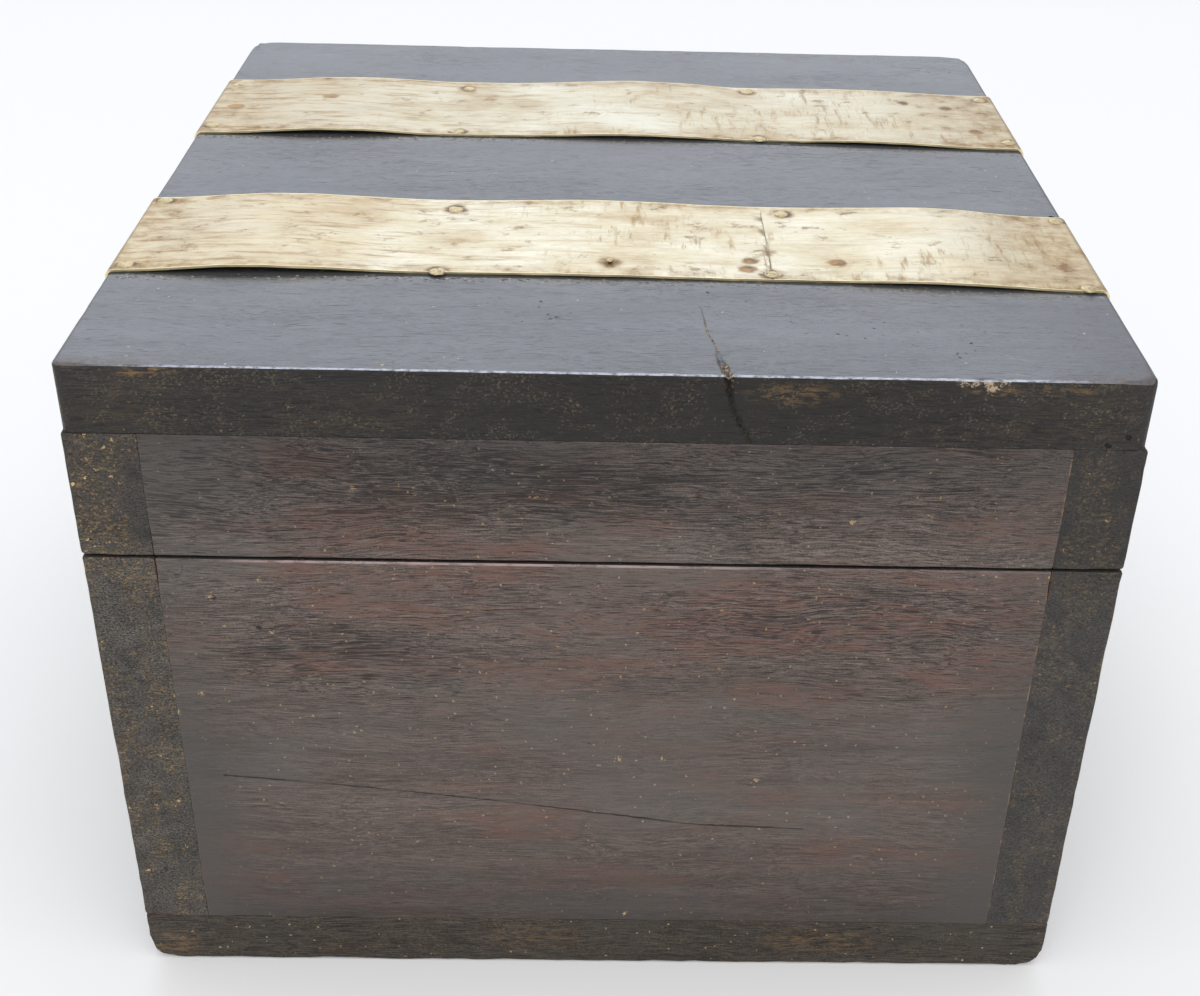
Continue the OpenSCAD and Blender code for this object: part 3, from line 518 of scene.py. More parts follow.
def markTop(tree, wood):
    place, parts = wood["place"], wood["parts"]
    # The straps' near edges curve by this much towards their ends
    bend = times(tree, parts[1], calc(tree, "MULTIPLY_ADD", parts[1], 0.00021, 0.0087))
    for row in topMarks["grit"]:
        beside = less(tree, less(tree, parts[0], row), bend)
        near = ease(tree, gapTo(tree, beside, 1.6), 4.6, 1.0)
        near = times(tree, near, ease(tree, parts[1], 40.0, -50.0, 0.55, 1.0))
        dirt = times(tree, near, specks(tree, stretch(tree, place, (1.0, 0.6, 1.0)), 1.0, 0.6, 0.42))
        lay(tree, wood, dirt, (0.008, 0.007, 0.007))
        grit = times(tree, near, specks(tree, place, 0.8, 0.5, 0.44))
        lay(tree, wood, grit, (0.36, 0.31, 0.25))
        # Painted shadow: a near-black line just in front of each strap's near edge, where the lifted
        # sheet shades the wood
        shadowed = noiseOf(tree, place, (0.5, 0.30, 0.5), detail=4.0, rough=0.7)
        strapEdgeShadow = times(tree, ease(tree, gapTo(tree, beside, 0.3), 1.7, 0.9),
                     ease(tree, shadowed, 0.32, 0.48))
        lay(tree, wood, strapEdgeShadow, (0.004, 0.004, 0.004))
        makeRough(tree, wood, most(tree, strapEdgeShadow, grit, dirt), 0.9)
    scattered = ease(tree, nearest(tree, place, topMarks["dots"]), 16.0, 4.0)
    dots = times(tree, scattered, specks(tree, place, 0.4, 0.45, 0.5, twist=0.7))
    lay(tree, wood, dots, (0.006, 0.006, 0.006))
    makeRough(tree, wood, dots, 0.9)
    worn = noiseOf(tree, place, (0.7, 0.5, 0.7), detail=3.0, rough=0.7)
    wobble = swing(tree, worn, 2.2)
    scratch = gapTo(tree, plus(tree, pathGap(tree, place, topMarks["scratch"]), wobble))
    scratch = times(tree, ease(tree, scratch, 0.35, 0.1), ease(tree, worn, 0.42, 0.5))
    lay(tree, wood, scratch, (0.006, 0.006, 0.007))
    scrape = gapTo(tree, plus(tree, pathGap(tree, place, topMarks["scrape"]), wobble))
    scrape = times(tree, ease(tree, scrape, 0.5, 0.1), ease(tree, worn, 0.5, 0.6), 0.5)
    lay(tree, wood, scrape, (0.30, 0.27, 0.25))
    # The near arris is rubbed smooth and carries a bluish-white painted highlight, with dry chips between
    fromArris = plus(tree, pathGap(tree, place, topMarks["arris"]), times(tree, wobble, 0.45))
    rubbed = noiseOf(tree, place, (0.5, 0.42, 0.5), detail=5.0, rough=0.75)
    polishAndHighlight = times(tree, ease(tree, fromArris, 0.95, 0.35), ease(tree, rubbed, 0.36, 0.56, 0.1, 1.0),
                   ease(tree, gapTo(tree, parts[1]), 126.0, 96.0))
    lay(tree, wood, times(tree, polishAndHighlight, 0.85), (0.42, 0.44, 0.53))
    makeRough(tree, wood, polishAndHighlight, 0.22)
    # Both ends of that arris are brown and dull
    ends = times(tree, ease(tree, gapTo(tree, parts[1]), 98.0, 122.0),
                 ease(tree, parts[0], 126.0, 131.5), ease(tree, worn, 0.38, 0.56))
    lay(tree, wood, times(tree, ends, 0.7), (0.10, 0.062, 0.042))
    makeRough(tree, wood, ends, 0.6)


def markEdge(tree, wood):
    place, parts = wood["place"], wood["parts"]
    lay(tree, wood, ease(tree, parts[2], 60.0, 150.0, 0.0, 0.66), (0.013, 0.013, 0.014))
    shadeShare = bloomOf(tree, parts, edgeMarks["shade"])
    lay(tree, wood, shadeShare, (0.012, 0.011, 0.010))
    broken = noiseOf(tree, wood["waved"], (0.22, 0.8, 0.8), detail=5.0, rough=0.75)
    rubs = times(tree, bloomOf(tree, parts, edgeMarks["rubs"]), ease(tree, broken, 0.46, 0.62))
    onNearFace = ease(tree, parts[0], 131.0, 131.6)
    lay(tree, wood, times(tree, clamped(tree, rubs), onNearFace, 0.62), (0.215, 0.125, 0.052))
    grains = noiseOf(tree, place, (1.7, 1.3, 1.7), detail=4.0, rough=0.75)
    patches = noiseOf(tree, place, (0.09, 0.09, 0.15), detail=4.0, rough=0.7)
    sand = times(tree, ease(tree, grains, 0.54, 0.62), ease(tree, patches, 0.44, 0.60))
    lay(tree, wood, times(tree, sand, 0.60), (0.135, 0.102, 0.062))
    pits = plus(tree, nearest(tree, place, edgeMarks["pits"]), swing(tree, grains, 3.4))
    pits = ease(tree, pits, 0.85, 0.45)
    lay(tree, wood, pits, (0.005, 0.004, 0.004))
    hollow(tree, wood, pits, 2.0)
    chips = plus(tree, nearest(tree, place, edgeMarks["chips"]), swing(tree, grains, 7.0))
    lay(tree, wood, times(tree, ease(tree, chips, 1.3, 0.5), 0.85), (0.38, 0.30, 0.20))


marking = {"panel": markPanel, "side": darkenByHeight, "split": markSplit, "top": markTop, "edge": markEdge}


def makeWood(name, look):
    material, tree = newMaterial(name)
    place = objectPlace(tree)
    parts = put(tree, "SeparateXYZ", {0: place}).outputs
    marks = look.get("marks", [])
    grained = alongGrain(tree, place, look["grain"])
    waved = wavy(tree, grained, (0.014, 0.040, 0.040), (0.0, 9.0, 9.0))
    waved = wavy(tree, waved, (0.06, 0.16, 0.16), (0.0, 1.8, 1.8))
    bands = noiseOf(tree, waved, (0.010, 0.25, 0.25), detail=4.0, rough=0.62)
    fibre = noiseOf(tree, waved, (0.06, 3.0, 3.0), detail=4.0, rough=0.7)
    figure = blendValues(tree, 0.55, bands, fibre)
    colour = rampOf(tree, figure, [(0.36, look["dark"]), (0.60, look["mid"])])
    redness = noiseOf(tree, waved, (0.022, 0.10, 0.10), detail=4.0, rough=0.62)
    greyness = noiseOf(tree, grained, (0.02, 0.035, 0.035), detail=4.0, rough=0.6)
    openness = noiseOf(tree, waved, (0.02, 0.06, 0.06))
    if "panel" in marks:
        bloom = bloomOf(tree, parts, panelMarks["blooms"])
        redness = plus(tree, redness, bloom)
        greyness = less(tree, greyness, bloom)
        openness = plus(tree, openness, times(tree, bloomOf(tree, parts, panelMarks["openings"]), 6.0))
        openness = less(tree, openness, ease(tree, parts[2], 112.0, 60.0, 0.0, 0.45))
    # Fine dark and pale lines along the grain, and a faint dusty grain over them; the pale lines are
    # partly paler grain and partly a painted highlight of the light caught along the pores
    lines = noiseOf(tree, waved, (0.11, 3.6, 3.6), detail=4.0, rough=0.75)
    dusty = noiseOf(tree, place, (2.2, 2.2, 2.2), detail=3.0, rough=0.8)
    lineShare = blendValues(tree, 0.3, ease(tree, lines, 0.33, 0.67), ease(tree, dusty, 0.33, 0.67))
    depth = look.get("lines", 0.35) * 1.4
    lit = rampOf(tree, lineShare, [(0.12, (max(0.04, 1.0 - depth),) * 3), (0.88, (1.0 + depth,) * 3)])
    boldness = ease(tree, parts[2], 80.0, 135.0, 0.62, 1.0) if "panel" in marks else 1.0
    colour = mixOf(tree, boldness, colour, lit, "MULTIPLY")
    strokes = noiseOf(tree, waved, (0.09, 1.2, 1.2), detail=4.0, rough=0.7)
    red = times(tree, ease(tree, redness, *look["redShare"]), ease(tree, strokes, 0.40, 0.60, 0.15, 0.85))
    colour = mixOf(tree, red, colour, look["red"])
    grey = ease(tree, greyness, *look["greyShare"], 0.0, 0.5)
    colour = mixOf(tree, grey, colour, look["grey"])
    # Fine pores everywhere, wider cracks in some places
    hair = noiseOf(tree, waved, (0.13, 4.6, 4.6), rough=0.6)
    wide = noiseOf(tree, waved, (0.085, 2.3, 2.3), rough=0.6)
    extra = swing(tree, openness, 0.22)
    hair = times(tree, ease(tree, plus(tree, hair, extra), 0.60, 0.72), 0.75)
    wide = ease(tree, plus(tree, wide, extra), 0.665, 0.73)
    pores = times(tree, most(tree, hair, wide), look["pores"])
    colour = mixOf(tree, pores, colour, (0.012, 0.009, 0.008))
    cluster = noiseOf(tree, place, (0.03, 0.03, 0.03), detail=3.0)
    crumbs = specks(tree, place, 0.11, look["crumbs"], 0.42, twist=0.12)
    fine = specks(tree, place, 0.55, look["fine"], 0.36, twist=0.7)
    haze = times(tree, specks(tree, place, 0.8, 0.5, 0.45), ease(tree, cluster, 0.42, 0.7))
    colour = mixOf(tree, times(tree, haze, look["dust"]), colour, (0.24, 0.17, 0.09))
    grit = rampOf(tree, greyness, [(0.45, (0.42, 0.25, 0.10)), (0.56, (0.38, 0.31, 0.20))])
    colour = mixOf(tree, times(tree, fine, 0.85), colour, grit)
    colour = mixOf(tree, times(tree, crumbs, 0.7), colour, (0.40, 0.26, 0.11))
    reach = look.get("roughReach", 0.08)
    roughness = ease(tree, greyness, 0.3, 0.7, look["rough"] - reach, look["rough"] + reach)
    wood = {
        "place": place, "parts": parts, "waved": waved, "fibre": fibre, "greyness": greyness,
        "colour": colour, "roughness": blendValues(tree, pores, roughness, 0.8),
        "height": less(tree, crumbs, pores),
    }
    for mark in marks:
        marking[mark](tree, wood)
    normal = bumpOf(tree, noiseOf(tree, waved, (0.04, 0.12, 0.12)), look.get("swell", 0.3))
    normal = bumpOf(tree, fibre, look["poreDepth"] * 0.6, under=normal)
    normal = bumpOf(tree, wood["height"], look["poreDepth"], under=normal)
    shade(tree, wood["colour"], roughness=wood["roughness"], normal=normal, specular=look["specular"])
    return material


endGrain = {
    "dark": (0.030, 0.027, 0.024), "mid": (0.080, 0.070, 0.061), "ochre": (0.36, 0.24, 0.11),
    "rough": 0.62, "specular": 0.30,
}


def makeEndGrain(name, look):
    material, tree = newMaterial(name)
    place = objectPlace(tree)
    parts = put(tree, "SeparateXYZ", {0: place}).outputs
    rings = noiseOf(tree, place, (0.02, 0.10, 0.16), detail=4.0, rough=0.6, twist=0.6)
    dashes = noiseOf(tree, place, (0.6, 0.42, 2.6), detail=4.0, rough=0.7)
    figure = blendValues(tree, 0.5, rings, dashes)
    colour = rampOf(tree, figure, [(0.36, look["dark"]), (0.60, look["mid"])])
    pores = noiseOf(tree, place, (0.9, 0.8, 3.6), rough=0.6)
    pores = ease(tree, pores, 0.60, 0.70, 0.0, 0.8)
    colour = mixOf(tree, pores, colour, (0.010, 0.009, 0.008))
    dusty = noiseOf(tree, place, (2.0, 1.6, 3.0), detail=3.0, rough=0.8)
    lit = rampOf(tree, ease(tree, dusty, 0.33, 0.67), [(0.1, (0.22,) * 3), (0.9, (1.75,) * 3)])
    wood = {"parts": parts, "colour": mixOf(tree, 1.0, colour, lit, "MULTIPLY")}
    # The front edge of the chest is paler and holds the most dirt, the lid's back edge is darkest
    lay(tree, wood, ease(tree, parts[1], -60.0, 90.0, 0.0, 0.55), (0.026, 0.025, 0.025))
    lidBack = times(tree, ease(tree, parts[1], 0.0, 100.0), ease(tree, parts[2], 120.0, 150.0), 0.55)
    lay(tree, wood, lidBack, (0.016, 0.014, 0.013))
    lidFront = times(tree, ease(tree, parts[1], 0.0, -100.0), ease(tree, parts[2], 138.0, 150.0), 0.5)
    lay(tree, wood, lidFront, (0.018, 0.016, 0.015))
    front = ease(tree, parts[1], -95.0, -132.0, 0.35, 1.0)
    cluster = ease(tree, noiseOf(tree, place, (0.05, 0.09, 0.055), detail=5.0, rough=0.7), 0.45, 0.55)
    sand = ease(tree, noiseOf(tree, place, (1.4, 1.1, 1.6), detail=4.0, rough=0.75), 0.54, 0.61)
    grains = specks(tree, place, 0.36, 0.60, 0.50, twist=0.9)
    smear = noiseOf(tree, place, (0.4, 0.35, 1.1), detail=5.0, rough=0.75)
    smear = ease(tree, smear, 0.50, 0.66, 0.0, 0.45)
    ochre = times(tree, most(tree, times(tree, sand, 0.7), grains, smear), cluster, front)
    pale = ease(tree, noiseOf(tree, place, (0.8, 0.8, 0.8)), 0.45, 0.6)
    lay(tree, wood, ochre, look["ochre"])
    lay(tree, wood, times(tree, ochre, grains, pale), (0.58, 0.42, 0.20))
    normal = bumpOf(tree, rings, 0.3)
    normal = bumpOf(tree, less(tree, ochre, pores), 0.2, under=normal)
    shade(tree, wood["colour"], roughness=look["rough"], normal=normal, specular=look["specular"])
    return material


# Metals

brass = {
    "tones": [(0.30, (0.35, 0.257, 0.136)), (0.46, (0.485, 0.422, 0.288)), (0.66, (0.605, 0.566, 0.45))],
    "stain": [(0.35, (0.42, 0.25, 0.095)), (0.65, (0.24, 0.13, 0.055))],
    "soot": (0.055, 0.036, 0.022),
    "cut": (0.80, 0.68, 0.40),
}


def makeStrapBrass(name, look):
    material, tree = newMaterial(name)
    place = objectPlace(tree)
    parts = put(tree, "SeparateXYZ", {0: place}).outputs
    cloud = noiseOf(tree, place, (0.05, 0.03, 0.05), detail=5.0, rough=0.62)
    brushed = noiseOf(tree, place, (1.6, 0.10, 0.6), detail=4.0, rough=0.7)
    tone = plus(tree, cloud, swing(tree, brushed, 0.30))
    colour = rampOf(tree, tone, brass["tones"])
    # Stains lie along the strap towards the front, and across it towards the back
    towardsBack = ease(tree, parts[1], -70.0, 20.0)
    towardsFront = less(tree, 1.0, towardsBack)
    across = noiseOf(tree, place, (0.07, 0.42, 0.3), detail=5.0, rough=0.72)
    acrossPlaces = noiseOf(tree, place, (0.06, 0.030, 0.06), detail=3.0)
    across = times(tree, ease(tree, across, 0.50, 0.68), ease(tree, acrossPlaces, 0.42, 0.60),
                   towardsBack, 0.75)
    along = noiseOf(tree, place, (0.50, 0.05, 0.3), detail=5.0, rough=0.72)
    along = times(tree, ease(tree, along, 0.48, 0.70), plus(tree, times(tree, towardsFront, 0.45), 0.30))
    blots = noiseOf(tree, place, (0.16, 0.11, 0.16), detail=6.0, rough=0.75)
    blotted = ease(tree, blots, 0.55, 0.68, 0.0, 0.7)
    rim = put(tree, "Attribute", attribute_name="rim", attribute_type="GEOMETRY").outputs["Fac"]
    ends = most(tree, ease(tree, parts[1], 92.0, 126.0), ease(tree, parts[1], -100.0, -130.0))
    brown = most(tree, across, along, blotted)
    dirt = plus(tree, ease(tree, rim, 0.74, 0.96, 0.0, 0.35), times(tree, ends, 0.38))
    brown = plus(tree, brown, times(tree, dirt, ease(tree, blots, 0.38, 0.56)))
    nailGap = nearest(tree, place, look["nails"])
    ring = times(tree, ease(tree, nailGap, 5.0, 2.6), ease(tree, blots, 0.36, 0.58, 0.15, 0.85))
    ragged = swing(tree, blots, 9.0)
    spots = ease(tree, plus(tree, nearest(tree, place, look["spots"]), ragged), 3.2, 1.4)
    brown = most(tree, brown, most(tree, ring, spots))
    cut = ease(tree, rim, 0.985, 0.998)
    brown = times(tree, clamped(tree, brown), less(tree, 1.0, cut))
    # The light falls off towards both ends of the sheet
    dull = ease(tree, gapTo(tree, parts[1], 8.0), 45.0, 125.0, 0.0, 0.56)
    colour = mixOf(tree, dull, colour, (0.40, 0.31, 0.175))
    # Painted shade: the strap's colour is multiplied by its shade factor, which darkens the far strap
    colour = mixOf(tree, 1.0, colour, (look["paintedShadeFactor"],) * 3, "MULTIPLY")
    colour = mixOf(tree, times(tree, brown, 0.85), colour, rampOf(tree, blots, brass["stain"]))
    soot = times(tree, most(tree, ease(tree, nailGap, 3.6, 2.5), spots), ease(tree, blots, 0.42, 0.60))
    soot = times(tree, soot, less(tree, 1.0, cut))
    colour = mixOf(tree, times(tree, soot, 0.85), colour, brass["soot"])
    colour = mixOf(tree, cut, colour, brass["cut"])
    roughness = ease(tree, plus(tree, brown, cloud), 0.2, 1.4, 0.32, 0.60)
    metallic = ease(tree, soot, 0.1, 0.9, 0.92, 0.3)
    dents = noiseOf(tree, place, (0.09, 0.06, 0.09), detail=3.0)
    normal = bumpOf(tree, dents, 0.5)
    normal = bumpOf(tree, plus(tree, brushed, blots), 0.08, under=normal)
    shade(tree, colour, roughness=roughness, metallic=metallic, normal=normal)
    return material


metals = {
    "nailBrass": {
        "bright": (0.66, 0.57, 0.37), "dull": (0.40, 0.29, 0.14), "grime": (0.06, 0.04, 0.025),
        "scale": 0.55, "grimeShare": (0.50, 0.68), "rough": 0.42, "metallic": 0.95, "dent": 0.25,
    },
    "fittingBrass": {
        "bright": (0.70, 0.56, 0.30), "dull": (0.38, 0.25, 0.10), "grime": (0.06, 0.045, 0.03),
        "scale": 0.16, "grimeShare": (0.58, 0.76), "rough": 0.34, "metallic": 0.95, "dent": 0.18,
    },
    "blackIron": {
        "bright": (0.17, 0.155, 0.145), "dull": (0.075, 0.060, 0.052), "grime": (0.15, 0.062, 0.028),
        "scale": 0.35, "grimeShare": (0.52, 0.70), "rough": 0.55, "metallic": 0.8, "dent": 0.3,
    },
    "greySteel": {
        "bright": (0.46, 0.44, 0.42), "dull": (0.24, 0.215, 0.19), "grime": (0.16, 0.075, 0.035),
        "scale": 0.25, "grimeShare": (0.56, 0.74), "rough": 0.4, "metallic": 0.92, "dent": 0.15,
    },
}


def makeMetal(name, look):
    material, tree = newMaterial(name)
    place = objectPlace(tree)
    cloud = noiseOf(tree, place, (look["scale"],) * 3, detail=5.0, rough=0.65)
    fine = noiseOf(tree, place, (look["scale"] * 5,) * 3, detail=3.0, rough=0.6)
    patina = blendValues(tree, 0.35, cloud, fine)
    colour = rampOf(tree, patina, [(0.35, look["dull"]), (0.62, look["bright"])])
    grime = ease(tree, blendValues(tree, 0.3, cloud, fine), *look["grimeShare"])
    colour = mixOf(tree, grime, colour, look["grime"])
    clean = ease(tree, fine, 0.3, 0.7, look["rough"] - 0.08, look["rough"] + 0.12)
    roughness = blendValues(tree, grime, clean, 0.8)
    metallic = blendValues(tree, grime, look["metallic"], 0.2)
    normal = bumpOf(tree, cloud, look["dent"])
    normal = bumpOf(tree, fine, look["dent"] * 0.25, under=normal)
    shade(tree, colour, roughness=roughness, metallic=metallic, normal=normal)
    return material


# Cloth

baize = {"deep": (0.008, 0.040, 0.020), "pale": (0.030, 0.095, 0.048), "lint": (0.16, 0.19, 0.14)}


def makeBaize(name):
    material, tree = newMaterial(name)
    place = objectPlace(tree)
    nap = noiseOf(tree, place, (2.4, 2.4, 2.4), detail=4.0, rough=0.7)
    felted = noiseOf(tree, place, (0.5, 0.5, 0.5), detail=3.0, rough=0.6)
    worn = noiseOf(tree, place, (0.025, 0.025, 0.025), detail=3.0)
    pile = blendValues(tree, 0.45, nap, felted)
    colour = rampOf(tree, pile, [(0.36, baize["deep"]), (0.66, baize["pale"])])
    colour = mixOf(tree, ease(tree, worn, 0.45, 0.75, 0.0, 0.4), colour, (0.045, 0.085, 0.045))
    lint = specks(tree, place, 0.35, 0.10, 0.35, twist=0.8)
    colour = mixOf(tree, lint, colour, baize["lint"])
    normal = bumpOf(tree, felted, 0.25)
    normal = bumpOf(tree, nap, 0.12, under=normal)
    shade(tree, colour, roughness=0.95, normal=normal, specular=0.15,
          Sheen_Weight=0.5, Sheen_Roughness=0.5)
    return material


# Mesh work

def copyOf(node):
    bm = bmesh.new()
    bm.from_mesh(nodes[node].data)
    bmesh.ops.remove_doubles(bm, verts=bm.verts, dist=0.002 * mm)
    return bm


def cutAcross(bm, axis, places, faces=None):
    normal = Vector([float(i == axis) for i in range(3)])
    for place in places:
        chosen = bm.faces[:] if faces is None else faces()
        edges = list({edge for face in chosen for edge in face.edges}) if faces else bm.edges[:]
        verts = list({vert for face in chosen for vert in face.verts}) if faces else bm.verts[:]
        bmesh.ops.bisect_plane(bm, geom=verts + edges + chosen, dist=0.001 * mm,
                               plane_co=normal * place, plane_no=normal)


def spread(low, high, spacing):
    count = max(1, round((high - low) / spacing))
    return [low + (high - low) * i / count for i in range(1, count)]


def refine(bm, low, high, spacing):
    # Cuts only the part of the surface inside a box into small faces
    for axis in range(3):
        cutAcross(bm, axis, (low[axis], high[axis]))

    def held():
        return [face for face in bm.faces
                if all(low[i] <= c <= high[i] for i, c in enumerate(face.calc_center_median()))]
    for axis in range(3):
        cutAcross(bm, axis, spread(low[axis], high[axis], spacing[axis]), held)


def pieceName(node):
    first, *others = node.split("_")
    return first + "".join(word.capitalize() for word in others)


def finishPiece(bm, node, materials, sharp=32):
    name = pieceName(node)
    mesh = bpy.data.meshes.new(name)
    bm.to_mesh(mesh)
    bm.free()
    piece = bpy.data.objects.new(name, mesh)
    bpy.context.scene.collection.objects.link(piece)
    for material in materials:
        mesh.materials.append(made[material])
    mesh.shade_smooth()
    mesh.set_sharp_from_angle(angle=math.radians(sharp))
    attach(piece, nodes[node]["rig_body"])
    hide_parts(node)
    return piece


# Boards

sideOf = {"-x": (0, 0), "+x": (0, 1), "-y": (1, 0), "+y": (1, 1), "-z": (2, 0), "+z": (2, 1)}
arrisReach = 3.2  # mm, within it a face of an arris counts to the side it looks to
wornReach = 8.0  # mm, as far from an arris its wear is reckoned
roundedReach = 1.7  # mm, as far from an arris the CAD model's rounding goes
unevenDepth = 1.6  # mm, the skin of a board that is uneven
rimCuts = [0.15, 0.5, 1.1, 2.0, 3.5, 5.5]  # mm from each side of a board


def arrisRadius(place, low, high, board):
    # Radius at a place on the board, more on worn arrises and at chips
    radius = board.get("plainArris", 0.06)
    point = place / mm
    for (first, second), worn in board.get("arrises", {}).items():
        axisA, endA = sideOf[first]
        axisB, endB = sideOf[second]
        gapA = abs(place[axisA] - (low, high)[endA][axisA]) / mm
        gapB = abs(place[axisB] - (low, high)[endB][axisB]) / mm
        if gapA < wornReach and gapB < wornReach:
            drift = 0.75 + 0.5 * noise.noise(point * 0.06) + 0.45 * noise.noise(point * 0.45)
            radius = max(radius, worn * max(0.25, drift))
    for chip in board.get("chips", ()):
        away = (point - Vector(chip["at"])).length / chip["size"]
        radius += chip["extra"] * math.exp(-away * away)
    return radius * mm


def splitDepth(point, chain):
    # Depth in mm of the split at a place on the surface
    best = 0.0
    for start, end in zip(chain[:-1], chain[1:]):
        a, b = Vector(start["at"]), Vector(end["at"])
        t = max(0.0, min(1.0, (point - a).dot(b - a) / (b - a).length_squared))
        middle = a + (b - a) * t
        width = start["width"] + (end["width"] - start["width"]) * t
        width *= 0.8 + 0.7 * noise.noise(point * 0.9)
        depth = start["depth"] + (end["depth"] - start["depth"]) * t
        away = (point - middle).length
        if away < width:
            best = max(best, depth * (1 - (away / width) ** 2))
    return best


def squareUp(bm, low, high, first, second):
    # Takes a rounded arris back to a sharp one, to be worn again by arrisRadius
    (axisA, endA), (axisB, endB) = first, second
    signA, signB = (1 if end else -1 for end in (endA, endB))
    for vert in bm.verts:
        gapA = ((low, high)[endA][axisA] - vert.co[axisA]) * signA
        gapB = ((low, high)[endB][axisB] - vert.co[axisB]) * signB
        if gapA < roundedReach * mm and gapB < roundedReach * mm:
            move = min(gapA, gapB)
            vert.co[axisA] += move * signA
            vert.co[axisB] += move * signB


def roundCorner(bm, low, high, corner):
    # Shrinks what lies in the corner between two sides towards an arc of a larger radius
    (axisA, endA), (axisB, endB) = (sideOf[side] for side in corner["sides"])
    signA, signB = (1 if end else -1 for end in (endA, endB))
    radius = corner["radius"] * mm
    slack = radius - corner["before"] * mm
    for vert in bm.verts:
        a = radius - ((low, high)[endA][axisA] - vert.co[axisA]) * signA
        b = radius - ((low, high)[endB][axisB] - vert.co[axisB]) * signB
        if a <= 0 or b <= 0:
            continue
        away = math.hypot(a, b)
        reach = radius * away / max(a, b)
        if reach * min(a, b) / away > slack:
            middle = (a + b) / away * slack
            reach = middle + math.sqrt(max(0.0, middle ** 2 - 2 * slack ** 2 + (radius - slack) ** 2))
        share = min(1.0, radius / reach)
        vert.co[axisA] -= a * (1 - share) * signA
        vert.co[axisB] -= b * (1 - share) * signB


def shapeBoard(node, board):
    bm = copyOf(node)
    low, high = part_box(node)
    for zone in board.get("zones", ()):
        refine(bm, Vector(zone["low"]) * mm, Vector(zone["high"]) * mm, Vector(zone["spacing"]) * mm)
    spacing = board.get("spacing", 4.0) * mm
    rims = [cut * mm for cut in rimCuts]
    for axis in range(3):
        near = [low[axis] + r for r in rims] + [high[axis] - r for r in rims]
        middle = spread(low[axis] + rims[-1], high[axis] - rims[-1], spacing)
        cutAcross(bm, axis, [p for p in near + middle if low[axis] < p < high[axis]])
    bm.normal_update()
    outer = {}
    for face in bm.faces:
        centre = face.calc_center_median()
        for side, (axis, end) in sideOf.items():
            onSide = abs(centre[axis] - (low, high)[end][axis]) < 0.02 * mm
            if onSide and abs(face.normal[axis]) > 0.9:
                outer[face] = side
        if face not in outer:
            axis = max(range(3), key=lambda i: abs(face.normal[i]))
            end = int(face.normal[axis] > 0)
            if abs(centre[axis] - (low, high)[end][axis]) < arrisReach * mm:
                outer[face] = next(side for side, place in sideOf.items() if place == (axis, end))
    for face in bm.faces:
        side = outer.get(face, "none")
        face.material_index = board["slots"].get(side, board["slots"]["rest"])
    for first, second in board.get("squared", ()):
        squareUp(bm, low, high, sideOf[first], sideOf[second])
    for vert in bm.verts:
        radius = arrisRadius(vert.co, low, high, board)
        inner = Vector([min(max(vert.co[i], low[i] + radius), high[i] - radius) for i in range(3)])
        away = vert.co - inner
        if away.length > radius:
            vert.co = inner + away * (radius / away.length)
    for corner in board.get("corners", ()):
        roundCorner(bm, low, high, corner)
    bm.normal_update()
    uneven = board.get("uneven", 0.05)
    moves = []
    for vert in bm.verts:
        gap = min(min(vert.co[i] - low[i], high[i] - vert.co[i]) for i in range(3))
        if gap > unevenDepth * mm:
            moves.append(0.0)
            continue
        point = vert.co / mm
        sink = uneven * (0.5 + 0.5 * noise.noise(point * 0.035) + 0.25 * noise.noise(point * 0.2))
        if board.get("split"):
            sink += splitDepth(point, board["split"])
        moves.append(max(0.0, sink) * mm)
    for vert, move in zip(bm.verts, moves):
        vert.co -= vert.normal * move
    finishPiece(bm, node, board["materials"])


topSplit = [
    {"at": (119.0, 25.8, 192.0), "width": 0.50, "depth": 0.3},
    {"at": (126.6, 26.9, 192.0), "width": 1.00, "depth": 1.1},
    {"at": (132.0, 28.0, 191.2), "width": 1.30, "depth": 1.8},
    {"at": (132.0, 28.0, 188.8), "width": 0.90, "depth": 1.3},
    {"at": (132.0, 29.4, 183.0), "width": 0.65, "depth": 0.8},
    {"at": (132.0, 34.0, 174.5), "width": 0.50, "depth": 0.6},
]


def endBoard(outside, inside, topWear, bottomWear):
    return {
        "materials": ["panelWood", "edgeWood", "insideEndWood"],
        "slots": {outside: 0, inside: 2, "+z": 1, "-z": 1, "-y": 1, "+y": 1, "rest": 2},
        "arrises": {(outside, "+z"): topWear, (outside, "-z"): bottomWear},
    }


def longBoard(outside, inside, cornerWear, wear):
    return {
        "materials": ["sideWood", "outerEndGrain", "insideWood", "edgeWood"],
        "slots": {outside: 0, inside: 2, "+x": 1, "-x": 1, "+z": 3, "-z": 3, "rest": 2},
        "arrises": {("+x", outside): cornerWear, ("-x", outside): cornerWear, **wear},
    }


